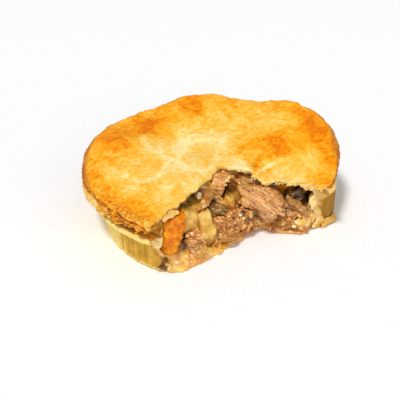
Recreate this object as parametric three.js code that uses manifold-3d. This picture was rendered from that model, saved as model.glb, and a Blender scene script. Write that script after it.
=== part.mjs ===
// A single-serving beef pot pie with about a third of it eaten. A fluted short-crust case holds a
// stew of beef, potato, carrot and mushroom in thick gravy, under a puffed pastry lid. Where the
// piece was taken out, the stew has slumped forward and its chunks show.
//
// Millimetres, +Z up. The origin is the middle of the base, on the surface that the pie stands on.
// The eaten side faces -Y and +X. Angles in degrees run anticlockwise from +X, seen from above.

import * as THREE from "three";
import { mergeVertices } from "three/addons/utils/BufferGeometryUtils.js";
import Module from "manifold-3d";

const wasm = await Module();
wasm.setup();

const { clamp, degToRad, radToDeg, euclideanModulo, inverseLerp } = THREE.MathUtils;
const FULL_TURN = 2 * Math.PI;

// Gap left between pieces that touch.
const GAP = 0.3;

// Case: floor, leaning fluted wall and the flange that the lid was sealed to.
const BASE_RADIUS = 57;
const BASE_ROUNDING = 3;
const CASE_HEIGHT = 20;
const CASE_LEAN = 1.8;
const CRUST = 3.4;
const FLOOR_FILLET = 4;
const FLUTES = 48;
const CASE_SEGMENTS = 2 * FLUTES;
const FLUTE_DEPTH = 0.5;
const FLANGE = { reach: 2, swell: 2.2, widest: 200, thick: 3.2, edge: 1.2, wave: 0.5 };

// At the right of the cut the wall has sunk inwards at its top, and its broken end is pushed in
// and crumpled thicker.
const WALL_SAG = { at: -8, spread: 20, depth: 2 };
const WALL_FOLD = { at: -15.5, spread: 7, depth: 9 };
const CRUST_CRUMPLE = { at: -15.5, spread: 7, depth: 2 };

// Lid: a puffed sheet that overhangs the case, set a little to the left of it.
const LID_CENTRE = new THREE.Vector2(-4, 0);
const LID_SEGMENTS = 80;
const LID_THICK = 2.8;
const LID_MIDDLE = 33;
const LID_BOWL = 1.8;
const LID_SHOULDER = 0.89;
const LID_WRINKLES = { seed: 21, finest: 0.22, rise: 0.35 };
const LID_TOP_SHARES = [0.14, 0.28, 0.42, 0.55, 0.67, 0.78, LID_SHOULDER];
const LID_EDGE_TURNS = [24, 48, 70];
const LIP_BEND = { from: 0.76, to: 0.93 };
const LID_UNDER_SHARES = [LIP_BEND.to, LIP_BEND.from, 0.5, 0.25];

// The lid's lip: thin layers of pastry whose edges end at uneven depths.
const LIP_HEIGHT = 3.2;
const LIP_LAYERS = 5;
const FLAKE_DEPTH = 0.9;
const FLAKE_RAGGED = 0.5;

// Round the lid at even steps from 0 degrees: the outline's radius, the height of the puffed
// shoulder, and how far the lip is lifted off the flange.
const LID_ROUND = [
  { radius: 59.5, rise: 28, lift: 1 },
  { radius: 69.3, rise: 37.5, lift: 0 },
  { radius: 67.5, rise: 43, lift: 0 },
  { radius: 62, rise: 40.5, lift: 0 },
  { radius: 62.7, rise: 43, lift: 0 },
  { radius: 62.5, rise: 38.5, lift: 0 },
  { radius: 66, rise: 35.8, lift: 0 },
  { radius: 64.7, rise: 35.8, lift: 0 },
  { radius: 62.8, rise: 32.5, lift: 0 },
  { radius: 61.5, rise: 29.5, lift: 1 },
  { radius: 62, rise: 28.5, lift: 3 },
  { radius: 62, rise: 28.5, lift: 3.5 },
  { radius: 61, rise: 28.5, lift: 3 },
  { radius: 59, rise: 28, lift: 2 },
  { radius: 57, rise: 27, lift: 1.5 },
];

// Puffs and hollows of the lid's top: place, rise and spread.
const LID_PUFFS = [
  { x: -20, y: 34, rise: 1.6, spread: 12 },
  { x: -45, y: 8, rise: 2, spread: 12 },
  { x: 34, y: 24, rise: 1.6, spread: 14 },
  { x: -27, y: -22, rise: 1.4, spread: 12 },
  { x: 10, y: 30, rise: -1.6, spread: 10 },
  { x: 4, y: 8, rise: -1.2, spread: 12 },
  { x: 30, y: -14, rise: -3, spread: 15 },
];

// The cut, from the front left round to the right: where the lid is broken off, and where the
// slumped stew ends on the surface below it.
const CUT = [
  { lid: [-40, -74], toe: [-40, -72] },
  { lid: [-27.5, -48], toe: [-27, -50] },
  { lid: [-21, -41], toe: [-17, -46] },
  { lid: [-14.6, -33], toe: [-5, -35] },
  { lid: [-9.8, -24], toe: [4, -26] },
  { lid: [-4.5, -15], toe: [11, -18.5] },
  { lid: [-0.8, -6.5], toe: [15.5, -11.5] },
  { lid: [6, -9], toe: [21, -11] },
  { lid: [14, -13.5], toe: [27, -14.4] },
  { lid: [21, -17.5], toe: [34, -16] },
  { lid: [31, -15], toe: [41, -15.5] },
  { lid: [40, -16.5], toe: [48, -12.5] },
  { lid: [50, -13], toe: [55, -5.5] },
  { lid: [74, 4], toe: [74, 8] },
];
const CUT_STEPS = 38;
const CUT_FAR = 105;
const CUT_CLOSING_ANGLES = [-8, -40, -75, -105];
const CUT_MIDDLE = [18, -46];
const CUT_TOP = 60;
const CUT_BOTTOM = -5;

// The tear through the lid goes layer by layer, and the floor ends a little behind the stew.
const TEAR_FROM = 48;
const TEAR_TO = 16;
const TEAR_LEVEL = 1.7;
const TEAR_DEPTH = 0.7;
const TEAR_JAG = 1;
const TEAR_TURN = 6;
const FLOOR_SETBACK = 4;
const FLOOR_SETBACK_EASE = 0.6;

// The face of the stew slumps from behind the lid's edge down to the toe.
const FACE_RECESS = 2.5;
const FACE_TOP = 30;
const FACE_LEVELS = 5;
const FACE_SLUMP = 1.3;
const FACE_ROUGH = 1.1;
const FACE_TURN = 5;

// The stew keeps clear of the lid's underside, which is read at other angles than the lid has.
const STEW_HEADROOM = 0.9;
const STEW_TOP_SHARES = [0.4, 0.72, 0.9];

// Hollows under the lid at the cut, where the stew has fallen away.
const HOLLOWS = [
  { at: [39, -9, 18.5], size: [30, 26, 16] },
  { at: [-13, -27, 26.5], size: [12, 16, 8] },
  { at: [5.5, -9, 24], size: [6, 12, 12] },
];

// Chunks that show in the cut: centre, size, turn in degrees, how boxy and how uneven they are.
const CHUNKS = {
  carrot_left: { at: [-22.6, -41.8, 18.4], size: [10, 9, 21.5], turn: [-18, 6, 10], boxy: 5, rough: 0.06 },
  beef_top: { at: [-3.6, -10, 24], size: [15, 12, 15], turn: [8, 14, -25], boxy: 4, rough: 0.1 },
  beef_slab: { at: [16, -14.4, 21.6], size: [27.5, 9, 13], turn: [0, 44, -8], boxy: 5, rough: 0.08 },
  potato_left: { at: [-16.8, -35.5, 18.6], size: [8.4, 9, 14], turn: [-10, 6, 20], boxy: 2.6, rough: 0.05 },
  potato_tall: { at: [-8.2, -30.8, 12.6], size: [8, 8, 18], turn: [-14, -16, 0], boxy: 3.4, rough: 0.06 },
  potato_middle: { at: [2.2, -14, 15.8], size: [6, 7, 11], turn: [0, 10, 30], boxy: 4, rough: 0.05 },
  mushroom_middle: { at: [-3.2, -22, 15.6], size: [10, 8, 8], turn: [10, 30, 20], boxy: 2.6, rough: 0.12 },
  beef_low_middle: { at: [0.8, -23, 7.6], size: [13, 11, 14], turn: [-12, -20, 30], boxy: 3.4, rough: 0.12 },
  beef_low_right: { at: [9, -16.5, 8.6], size: [10, 10, 13], turn: [-6, 18, -15], boxy: 3.2, rough: 0.14 },
  beef_shred: { at: [16.6, -12.8, 7.2], size: [10, 7, 11], turn: [0, 35, 10], boxy: 3, rough: 0.16 },
  beef_front: { at: [-14.6, -40, 11], size: [11, 9, 10], turn: [-15, 25, 15], boxy: 3.2, rough: 0.12 },
  beef_back: { at: [29.8, -11, 11.6], size: [8, 8, 17], turn: [0, -42, 12], boxy: 3.6, rough: 0.1 },
  beef_right: { at: [31.5, -12.6, 5.8], size: [13, 9, 8], turn: [0, 8, 0], boxy: 3, rough: 0.14 },
  carrot_back: { at: [29, -3.5, 19.6], size: [11, 8, 10], turn: [10, 20, 30], boxy: 4, rough: 0.05 },
  mushroom_right: { at: [38, -5, 15.6], size: [17, 10, 12], turn: [20, -10, 20], boxy: 2.4, rough: 0.12 },
  onion_strip: { at: [35.6, -13, 13], size: [15, 3.4, 5], turn: [15, 34, -10], boxy: 3, rough: 0.1 },
  potato_right: { at: [38, -13.4, 4.6], size: [9, 8, 7], turn: [0, 10, 15], boxy: 4, rough: 0.05 },
};
const LUMP_DETAIL = { small: 1, large: 2 };
const LUMP_LARGE = 13.5;
const LUMP_UNEVEN = { seed: 90, finest: 1.6 };

// Colour and roughness of each kind of food.
const LOOKS = {
  lid: { color: 0xe39a2e, roughness: 0.5 },
  case: { color: 0xd8b265, roughness: 0.6 },
  filling: { color: 0x9a6535, roughness: 0.35 },
  beef: { color: 0xb07a4c, roughness: 0.45 },
  potato: { color: 0xd9b06a, roughness: 0.4 },
  carrot: { color: 0xd9741c, roughness: 0.4 },
  mushroom: { color: 0x4a3826, roughness: 0.45 },
  onion: { color: 0xcdb187, roughness: 0.35 },
};

// The uneven lines: the seed of their draws, the waves per turn of the longest wave, and how many
// waves are added up.
const WAVES = {
  flange: { seed: 11, first: 2, count: 5 },
  outline: { seed: 5, first: 3, count: 9 },
  flakes: { seed: 31, first: 5, count: 14 },
  jag: { seed: 77, first: 12, count: 9 },
  tear: { seed: 400, first: 9, count: 16 },
  face: { seed: 600, first: 7, count: 12 },
};
const FIELD_WAVES = 7;
const RANDOM_STEP = 16807;
const RANDOM_SPAN = 2147483647;

// Repeatable random numbers from 0 to 1.
function randomFrom(seed) {
  let state = seed;
  return () => {
    state = (state * RANDOM_STEP) % RANDOM_SPAN;
    return state / RANDOM_SPAN;
  };
}

// A wobble round a full turn: a few waves whose sizes and phases come from the seed. Lines of one
// kind that lie over each other differ by their layer.
function wobble({ seed, first, count }, layer = 0) {
  const random = randomFrom(seed + layer);
  const waves = Array.from({ length: count }, (_, i) => ({
    turns: first + i,
    phase: FULL_TURN * random(),
    size: (0.5 + random()) / count,
  }));
  return (angle) => waves.reduce((sum, w) => sum + w.size * Math.sin(w.turns * angle + w.phase), 0);
}

// An uneven field over space, from about -1 to 1.
function unevenness({ seed, finest }, layer = 0) {
  const random = randomFrom(seed + layer);
  const draw = () => finest * (2 * random() - 1);
  const waves = Array.from({ length: FIELD_WAVES }, () => ({
    along: new THREE.Vector3(draw(), draw(), draw()),
    phase: FULL_TURN * random(),
  }));
  const sum = (point) => waves.reduce((all, w) => all + Math.sin(w.along.dot(point) + w.phase), 0);
  return (point) => (2 * sum(point)) / FIELD_WAVES;
}

// A smooth bump round the compass: 1 at its angle, fading over its spread.
function bump(angle, { at, spread }) {
  const away = euclideanModulo(radToDeg(angle) - at + 180, 360) - 180;
  return Math.exp(-0.5 * (away / spread) ** 2);
}

// One of the lid's values, running smoothly all the way round through its stations.
function roundTheLid(which) {
  const stations = LID_ROUND.map((station) => new THREE.Vector3(station[which], 0, 0));
  const curve = new THREE.CatmullRomCurve3(stations, true, "catmullrom");
  return (angle) => curve.getPoint(euclideanModulo(angle / FULL_TURN, 1)).x;
}

// Rings of points round a centre, from rows of a radius and a height, both functions of the angle.
function ringsOf(segments, rows, centre = new THREE.Vector2()) {
  const angles = Array.from({ length: segments }, (_, j) => (FULL_TURN * j) / segments);
  return rows.map(([radius, height]) => angles.map((angle) => new THREE.Vector3(
    centre.x + radius(angle) * Math.cos(angle),
    centre.y + radius(angle) * Math.sin(angle),
    height(angle),
  )));
}

// A closed surface through rings of points, with a point at each end. The first end is the upper
// or inner one, and each ring runs anticlockwise seen from above.
function ringGeometry(first, rings, last) {
  const count = rings[0].length;
  const points = [first, ...rings.flat(), last];
  const bottom = 1 + (rings.length - 1) * count;
  const faces = [];
  for (let j = 0; j < count; j++) {
    const k = (j + 1) % count;
    faces.push(0, 1 + j, 1 + k);
    for (let upper = 1; upper < bottom; upper += count) {
      const lower = upper + count;
      faces.push(upper + j, lower + j, lower + k, upper + j, lower + k, upper + k);
    }
    faces.push(points.length - 1, bottom + k, bottom + j);
  }
  return new THREE.BufferGeometry().setFromPoints(points).setIndex(faces);
}

// A geometry as a solid that can be joined and cut.
function solidOf(geometry) {
  const bare = geometry.clone();
  bare.deleteAttribute("normal");
  bare.deleteAttribute("uv");
  const merged = mergeVertices(bare);
  return new wasm.Manifold(new wasm.Mesh({
    numProp: 3,
    vertProperties: merged.attributes.position.array,
    triVerts: new Uint32Array(merged.index.array),
  }));
}

// The largest body of a solid, so that no loose scrap stays after a cut.
function mainBody(solid) {
  return solid.decompose().reduce((best, body) => (body.volume() > best.volume() ? body : best));
}

// A named mesh of a solid, placed at its own reference point.
function meshOf(name, solid, kind, place = new THREE.Vector3()) {
  const data = solid.getMesh();
  const geometry = new THREE.BufferGeometry();
  geometry.setAttribute("position", new THREE.BufferAttribute(new Float32Array(data.vertProperties), 3));
  geometry.setIndex(new THREE.BufferAttribute(data.triVerts, 1));
  geometry.translate(-place.x, -place.y, -place.z);
  geometry.computeVertexNormals();
  const mesh = new THREE.Mesh(geometry, new THREE.MeshStandardMaterial({ ...LOOKS[kind], metalness: 0 }));
  mesh.name = name;
  mesh.position.copy(place);
  return mesh;
}

// Case

const flangeWobble = wobble(WAVES.flange);
const flangeWave = (angle) => FLANGE.wave * flangeWobble(angle);
const flangeReach = (angle) => FLANGE.reach + FLANGE.swell * Math.cos(angle - degToRad(FLANGE.widest));
const wallLean = (angle) => CASE_LEAN - WALL_SAG.depth * bump(angle, WALL_SAG);
const wallFoot = (angle) => BASE_RADIUS - WALL_FOLD.depth * bump(angle, WALL_FOLD);
const wallThick = (angle) => CRUST + CRUST_CRUMPLE.depth * bump(angle, CRUST_CRUMPLE);
const wallOuter = (angle, z) => wallFoot(angle) + (wallLean(angle) * z) / CASE_HEIGHT;
const wallInner = (angle, z) => wallOuter(angle, z) - wallThick(angle);

// The whole case before it is cut. A margin thickens it inwards and upwards.
function caseSolid({ margin, fluteDepth }) {
  const floor = CRUST + margin;
  const level = (z) => () => z;
  const flute = (angle) => fluteDepth * (Math.round((angle * CASE_SEGMENTS) / FULL_TURN) % 2);
  const inner = (z, inset) => [(a) => wallInner(a, z) - margin - inset, level(z)];
  const outer = (z) => [(a) => wallOuter(a, z) - flute(a), level(z)];
  const rim = (inset, drop) => [
    (a) => wallOuter(a, CASE_HEIGHT) + flangeReach(a) + margin - inset,
    (a) => CASE_HEIGHT + margin + flangeWave(a) - drop,
  ];
  const foot = (inset, z) => [(a) => wallFoot(a) - inset, level(z)];
  const rows = [
    inner(floor, FLOOR_FILLET),
    inner(floor + FLOOR_FILLET / 4, FLOOR_FILLET / 4),
    inner(floor + FLOOR_FILLET, 0),
    inner(CASE_HEIGHT - FLANGE.edge, 0),
    [(a) => wallInner(a, CASE_HEIGHT) + FLANGE.edge, (a) => CASE_HEIGHT + margin + flangeWave(a)],
    rim(FLANGE.edge, 0),
    rim(0, FLANGE.edge),
    rim(0, FLANGE.thick - FLANGE.edge / 2),
    outer(CASE_HEIGHT - FLANGE.thick - FLANGE.edge),
    outer(CASE_HEIGHT / 2),
    outer(BASE_ROUNDING),
    foot(BASE_ROUNDING / 3, BASE_ROUNDING / 4),
    foot(BASE_ROUNDING, 0),
  ];
  const rings = ringsOf(CASE_SEGMENTS, rows);
  return solidOf(ringGeometry(new THREE.Vector3(0, 0, floor), rings, new THREE.Vector3()));
}

// Lid

const lidOutline = roundTheLid("radius");
const lidRise = roundTheLid("rise");
const lipLift = roundTheLid("lift");
const outlineWobble = wobble(WAVES.outline);
const wrinkles = unevenness(LID_WRINKLES);
const lidRadius = (angle) => lidOutline(angle) + outlineWobble(angle);
const lipBottom = (angle) => CASE_HEIGHT + FLANGE.wave + 2 * GAP + lipLift(angle);
const lipTop = (angle) => lipBottom(angle) + LIP_HEIGHT;

// Height of the lid's top, short of its rounded edge, at a share of the way out to the outline.
function lidTop(angle, share) {
  const reach = share * lidRadius(angle);
  const x = LID_CENTRE.x + reach * Math.cos(angle);
  const y = LID_CENTRE.y + reach * Math.sin(angle);
  const near = (p) => Math.exp(-((x - p.x) ** 2 + (y - p.y) ** 2) / (2 * p.spread ** 2));
  const puffs = LID_PUFFS.reduce((sum, p) => sum + p.rise * near(p), 0);
  const bowl = (lidRise(angle) - LID_MIDDLE) * Math.min(1, share / LID_SHOULDER) ** LID_BOWL;
  return LID_MIDDLE + bowl + puffs + LID_WRINKLES.rise * wrinkles(new THREE.Vector3(x, y, 0));
}

// Height of the lid's underside, which comes down to the lip near the outline.
function lidUnder(angle, share) {
  const nearLip = clamp(inverseLerp(LIP_BEND.from, LIP_BEND.to, share), 0, 1);
  return (lidTop(angle, share) - LID_THICK) * (1 - nearLip) + (lipBottom(angle) + GAP) * nearLip;
}

// The whole lid before it is torn.
function lidSolid() {
  const shareRow = (height) => (share) => [(a) => share * lidRadius(a), (a) => height(a, share)];
  const edgeRow = (degrees) => {
    const share = LID_SHOULDER + (1 - LID_SHOULDER) * Math.sin(degToRad(degrees));
    const drop = Math.cos(degToRad(degrees));
    return [
      (a) => share * lidRadius(a),
      (a) => lipTop(a) + (lidTop(a, LID_SHOULDER) - lipTop(a)) * drop,
    ];
  };
  const flakeRow = (_, layer) => {
    const ragged = wobble(WAVES.flakes, layer);
    const inset = layer % 2 ? FLAKE_DEPTH : 0;
    const down = (LIP_HEIGHT * layer) / (LIP_LAYERS - 1);
    return [(a) => lidRadius(a) - inset + FLAKE_RAGGED * ragged(a), (a) => lipTop(a) - down];
  };
  const rows = [
    ...LID_TOP_SHARES.map(shareRow(lidTop)),
    ...LID_EDGE_TURNS.map(edgeRow),
    ...Array.from({ length: LIP_LAYERS }, flakeRow),
    ...LID_UNDER_SHARES.map(shareRow(lidUnder)),
  ];
  const middle = (height) => new THREE.Vector3(LID_CENTRE.x, LID_CENTRE.y, height(0, 0));
  const rings = ringsOf(LID_SEGMENTS, rows, LID_CENTRE);
  return solidOf(ringGeometry(middle(lidTop), rings, middle(lidUnder)));
}

// Cut

// One of the cut's lines as evenly spaced points, pushed sideways into the pie by a setback.
function cutLine(which, setback) {
  const stations = CUT.map((station) => new THREE.Vector3(...station[which], 0));
  const curve = new THREE.CatmullRomCurve3(stations, false, "centripetal");
  return Array.from({ length: CUT_STEPS + 1 }, (_, i) => {
    const t = i / CUT_STEPS;
    const along = curve.getTangent(t);
    const inwards = new THREE.Vector3(-along.y, along.x, 0);
    return curve.getPoint(t).addScaledVector(inwards, setback(t));
  });
}

// A solid that removes the eaten piece. Its wall passes through one line at each level, given as
// a height and a line from the top down, and it closes far outside the pie.
function cutter(levels) {
  const closing = CUT_CLOSING_ANGLES.map(degToRad).map(
    (angle) => new THREE.Vector3(CUT_FAR * Math.cos(angle), CUT_FAR * Math.sin(angle), 0),
  );
  const loop = ([z, line]) => [...line, ...closing].reverse().map((p) => new THREE.Vector3(p.x, p.y, z));
  const end = ([z]) => new THREE.Vector3(...CUT_MIDDLE, z);
  return solidOf(ringGeometry(end(levels[0]), levels.map(loop), end(levels.at(-1))));
}

// The lid's tear: each thin layer of pastry breaks along a slightly different line.
function lidCutter() {
  const jagged = wobble(WAVES.jag);
  const levels = [];
  for (let z = TEAR_FROM; z > TEAR_TO; z -= TEAR_LEVEL) {
    const ragged = wobble(WAVES.tear, levels.length);
    const depth = (t) => TEAR_DEPTH * ragged(TEAR_TURN * t) + TEAR_JAG * jagged(TEAR_TURN * t);
    levels.push([z, cutLine("lid", depth)]);
  }
  return cutter(levels);
}

// The floor's edge stays a little behind the end of the stew that covers it, but not at the walls.
function caseCutter(setback) {
  const line = cutLine("toe", (t) => setback + FLOOR_SETBACK * Math.sin(Math.PI * t) ** FLOOR_SETBACK_EASE);
  return cutter([[CUT_TOP, line], [CUT_BOTTOM, line]]);
}

// The face of the stew: uneven, and leaning back from the toe to a line behind the lid's edge.
function faceCutter() {
  const toe = cutLine("toe", () => 0);
  const top = cutLine("lid", () => FACE_RECESS);
  const levels = Array.from({ length: FACE_LEVELS + 1 }, (_, i) => {
    const up = 1 - i / FACE_LEVELS;
    const lumps = wobble(WAVES.face, i);
    const onFace = (p, k) => {
      const push = FACE_ROUGH * lumps((FACE_TURN * k) / CUT_STEPS);
      return p.clone().lerp(top[k], up ** FACE_SLUMP).add(new THREE.Vector3(push, -push, 0));
    };
    return [up * FACE_TOP, toe.map(onFace)];
  });
  return cutter([[CUT_TOP, levels[0][1]], ...levels, [CUT_BOTTOM, levels.at(-1)[1]]]);
}

// Stew

// Everything inside a wall, from the surface below up to the underside of the lid.
function stewSolid(inside) {
  const brim = CASE_HEIGHT - FLANGE.edge;
  const topHeight = (angle, radius) => {
    const x = radius * Math.cos(angle) - LID_CENTRE.x;
    const y = radius * Math.sin(angle) - LID_CENTRE.y;
    const lidAngle = Math.atan2(y, x);
    return lidUnder(lidAngle, Math.hypot(x, y) / lidRadius(lidAngle)) - STEW_HEADROOM;
  };
  const topRow = (share) => [(a) => share * inside(a, brim), (a) => topHeight(a, share * inside(a, brim))];
  const sideRow = (z) => [(a) => inside(a, z), () => z];
  const rows = [...STEW_TOP_SHARES.map(topRow), ...[brim, CASE_HEIGHT / 2, 0].map(sideRow)];
  const top = new THREE.Vector3(0, 0, topHeight(0, 0));
  return solidOf(ringGeometry(top, ringsOf(CASE_SEGMENTS, rows), new THREE.Vector3()));
}

// A lump of food about the origin: a rounded box with an uneven surface.
function lumpGeometry({ size, boxy, rough }, order, margin) {
  const detail = Math.max(...size) > LUMP_LARGE ? LUMP_DETAIL.large : LUMP_DETAIL.small;
  const geometry = new THREE.IcosahedronGeometry(1, detail);
  const uneven = unevenness(LUMP_UNEVEN, order);
  const positions = geometry.getAttribute("position");
  const half = new THREE.Vector3(...size).multiplyScalar(0.5);
  for (let i = 0; i < positions.count; i++) {
    const way = new THREE.Vector3().fromBufferAttribute(positions, i);
    const powers = way.toArray().reduce((sum, part) => sum + Math.abs(part) ** boxy, 0);
    const swell = powers ** (-1 / boxy) * (1 + rough * uneven(way));
    const point = way.clone().multiplyScalar(swell).multiply(half).addScaledVector(way, margin);
    positions.setXYZ(i, ...point);
  }
  return geometry;
}

function chunkSolid(chunk, order, margin) {
  const turn = new THREE.Euler(...chunk.turn.map(degToRad));
  const place = new THREE.Matrix4().makeRotationFromEuler(turn).setPosition(...chunk.at);
  return solidOf(lumpGeometry(chunk, order, margin).applyMatrix4(place));
}

function hollowSolid({ at, size }) {
  const place = new THREE.Matrix4().makeScale(...size).setPosition(...at);
  return solidOf(new THREE.IcosahedronGeometry(0.5, LUMP_DETAIL.large).applyMatrix4(place));
}

// Assembly

const pie = new THREE.Group();

const wholeCase = caseSolid({ margin: 0, fluteDepth: FLUTE_DEPTH });
pie.add(meshOf("case", mainBody(wholeCase.subtract(caseCutter(0))), "case"));

const lid = mainBody(lidSolid().subtract(lidCutter()));
pie.add(meshOf("lid", lid, "lid"));

// Chunks are set first to last, and each keeps clear of the pastry and of those before it. They may
// stand in front of the wall's broken ends.
const thickCase = caseSolid({ margin: GAP, fluteDepth: 0 });
const chunkRoom = stewSolid(wallOuter);
let taken = thickCase.subtract(caseCutter(-GAP));
Object.entries(CHUNKS).forEach(([name, chunk], i) => {
  const lump = chunkSolid(chunk, i, 0).intersect(chunkRoom).subtract(taken);
  taken = taken.add(chunkSolid(chunk, i, GAP));
  pie.add(meshOf(name, mainBody(lump), name.split("_")[0], new THREE.Vector3(...chunk.at)));
});

const stewRoom = stewSolid((angle, z) => wallInner(angle, z) - 2 * GAP);
const hollows = HOLLOWS.map(hollowSolid).reduce((all, one) => all.add(one));
const stew = stewRoom.subtract(faceCutter()).subtract(hollows).subtract(taken);
pie.add(meshOf("filling", mainBody(stew), "filling"));

export default pie;
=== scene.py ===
"""A beef pot pie with a third of it eaten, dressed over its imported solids.

Each solid is copied as a fine mesh, given the relief of its food, and painted with values at its
points that its material reads. Small scattered bits are joined meshes, one for each kind.
Lengths are in millimetres, and turn into metres where a mesh is written.
"""

import math
from types import SimpleNamespace
from typing import NamedTuple

import bmesh
import bpy
import numpy as np
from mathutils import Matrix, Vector
from mathutils.bvhtree import BVHTree


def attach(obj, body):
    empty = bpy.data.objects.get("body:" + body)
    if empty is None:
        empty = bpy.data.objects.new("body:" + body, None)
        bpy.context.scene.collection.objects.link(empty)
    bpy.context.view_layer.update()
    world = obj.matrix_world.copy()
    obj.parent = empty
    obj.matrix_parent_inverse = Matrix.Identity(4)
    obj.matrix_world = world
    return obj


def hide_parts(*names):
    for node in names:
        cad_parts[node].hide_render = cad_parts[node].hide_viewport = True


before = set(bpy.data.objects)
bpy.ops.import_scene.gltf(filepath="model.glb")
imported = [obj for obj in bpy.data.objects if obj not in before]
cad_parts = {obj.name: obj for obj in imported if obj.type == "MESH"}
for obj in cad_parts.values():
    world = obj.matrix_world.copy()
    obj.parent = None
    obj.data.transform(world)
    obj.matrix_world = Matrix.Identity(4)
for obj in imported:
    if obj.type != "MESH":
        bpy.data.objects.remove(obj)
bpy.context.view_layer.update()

MM = 0.001
FULL_TURN = 2.0 * math.pi

# Numbers and noise


def srgb(red, green, blue):
    """A colour from 0 to 255 as the linear colour that a shader takes."""
    parts = np.array([red, green, blue]) / 255.0
    linear = np.where(parts <= 0.04045, parts / 12.92, ((parts + 0.055) / 1.055) ** 2.4)
    return (*linear.tolist(), 1.0)


def rise(low, high, values):
    """0 below low, 1 above high, and a smooth rise between them."""
    share = np.clip((values - low) / (high - low), 0.0, 1.0)
    return share * share * (3.0 - 2.0 * share)


def fade(low, high, values):
    """1 below low, 0 above high, and a smooth fall between them."""
    return 1.0 - rise(low, high, values)


def window(start, end, values):
    """1 between a rise and a fade, each given by its low and high, and 0 outside them."""
    return rise(*start, values) * fade(*end, values)


def share_of(values):
    """Values kept from 0 to 1."""
    return np.clip(values, 0.0, 1.0)


def columns(*values):
    """Values at points, side by side."""
    return np.stack(values, axis=1)


def unit(vectors):
    return vectors / np.linalg.norm(vectors, axis=-1, keepdims=True)


class Noise:
    """Seeded gradient noise over space, from about -1 to 1."""

    CELLS = 256
    GAIN = 1.7

    def __init__(self, seed):
        draw = np.random.default_rng(seed)
        self.order = np.tile(draw.permutation(self.CELLS), 2)
        self.slopes = unit(draw.normal(size=(self.CELLS, 3)))

    def at(self, points):
        cell = np.floor(points).astype(int)
        within = points - cell
        ease = within ** 3 * (within * (within * 6.0 - 15.0) + 10.0)
        total = np.zeros(len(points))
        for corner in np.ndindex(2, 2, 2):
            x, y, z = ((cell + corner) % self.CELLS).T
            slope = self.slopes[self.order[self.order[self.order[x] + y] + z]]
            weight = np.prod(np.where(corner, ease, 1.0 - ease), axis=1)
            total += weight * np.sum(slope * (within - corner), axis=1)
        return self.GAIN * total


def octave_fields(points, seed, size, octaves):
    """Noise of a size, over all or along each axis, and over again at halving sizes and depths."""
    noise = Noise(seed)
    places = points / np.array(size)
    return [(noise.at(places * 2.0 ** k), 2.0 ** -k) for k in range(octaves)]


def grain(points, seed, size, octaves=2):
    """Rough noise about 0."""
    return sum(field * depth for field, depth in octave_fields(points, seed, size, octaves))


def billows(points, seed, size, octaves=2):
    """Rounded lumps with sharp creases between them, about 0."""
    usual = 0.45
    return sum(np.abs(field) * depth for field, depth in octave_fields(points, seed, size, octaves)) - usual


def drift(points, seed, size, depth):
    """Points moved about by noise, so that what is made from them gets an uneven outline."""
    noise = Noise(seed)
    starts_apart = (0.0, 31.7, 73.1)
    return points + depth * columns(*(noise.at(points / size + start) for start in starts_apart))


# Meshes


class Relief:
    """A mesh object's points in millimetres, with what shaping and painting them needs."""

    def __init__(self, obj):
        self.obj = obj
        mesh = obj.data
        self.points = self.read(mesh.vertices, "co") / MM
        edges = np.empty(2 * len(mesh.edges), np.int32)
        mesh.edges.foreach_get("vertices", edges)
        self.edges = edges.reshape(-1, 2)
        self.neighbours = np.bincount(edges, minlength=len(self.points))

    @staticmethod
    def read(items, name):
        values = np.empty(3 * len(items), np.float32)
        items.foreach_get(name, values)
        return values.reshape(-1, 3).astype(float)

    def normals(self):
        self.write()
        return self.read(self.obj.data.vertex_normals, "vector")

    def write(self):
        """Writes the points to the mesh, with none of them below the floor."""
        self.points[:, 2] = np.maximum(self.points[:, 2], 0.0)
        self.obj.data.vertices.foreach_set("co", (self.points * MM).astype(np.float32).ravel())
        self.obj.data.update()

    def mean(self, values):
        """The mean of each point's neighbours, for one value or several at each point."""
        first, second = self.edges.T
        count = len(self.points)
        sums = [
            np.bincount(first, column[second], count) + np.bincount(second, column[first], count)
            for column in values.reshape(count, -1).T
        ]
        return (np.array(sums) / self.neighbours).T.reshape(values.shape)

    def relax(self, rounds, share=0.5):
        """Evens out the points, everywhere or by a share at each point."""
        share = np.broadcast_to(share, len(self.points))[:, None]
        for _ in range(rounds):
            self.points += share * (self.mean(self.points) - self.points)

    def soften(self, values, rounds):
        """Spreads values at the points over their neighbours."""
        for _ in range(rounds):
            values = self.mean(values)
        return values

    def push(self, amount):
        """Moves the points along their normals."""
        self.points += self.normals() * amount[:, None]

    def rip(self, share, seed, size, depth):
        """Draws the points in and out, by a share at each, as along a torn edge."""
        self.points += share[:, None] * (drift(self.points, seed, size, depth) - self.points)

    def hollows(self, rounds):
        """How far each point lies below its surroundings, along its normal."""
        level = self.soften(self.points, rounds)
        return np.sum((level - self.points) * self.normals(), axis=1)

    def paint_film(self, rounds):
        """Records the normals of a wet film that lies smoothly over the surface."""
        film = unit(self.soften(self.normals(), rounds))
        layer = self.obj.data.attributes.new("film", "FLOAT_VECTOR", "POINT")
        layer.data.foreach_set("vector", film.astype(np.float32).ravel())

    def paint(self, **fields):
        for name, values in fields.items():
            layer = self.obj.data.attributes.new(name, "FLOAT", "POINT")
            layer.data.foreach_set("value", values.astype(np.float32))


def new_object(name, data):
    obj = bpy.data.objects.new(name, data)
    bpy.context.scene.collection.objects.link(obj)
    return obj


def mesh_object(name, points, faces):
    mesh = bpy.data.meshes.new(name)
    mesh.from_pydata((points * MM).tolist(), [], faces)
    mesh.update()
    return new_object(name, mesh)


def bake_modifiers(obj):
    """Replaces an object's mesh by what its modifiers make of it."""
    evaluated = obj.evaluated_get(bpy.context.evaluated_depsgraph_get())
    mesh = bpy.data.meshes.new_from_object(evaluated)
    obj.modifiers.clear()
    obj.data = mesh


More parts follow.
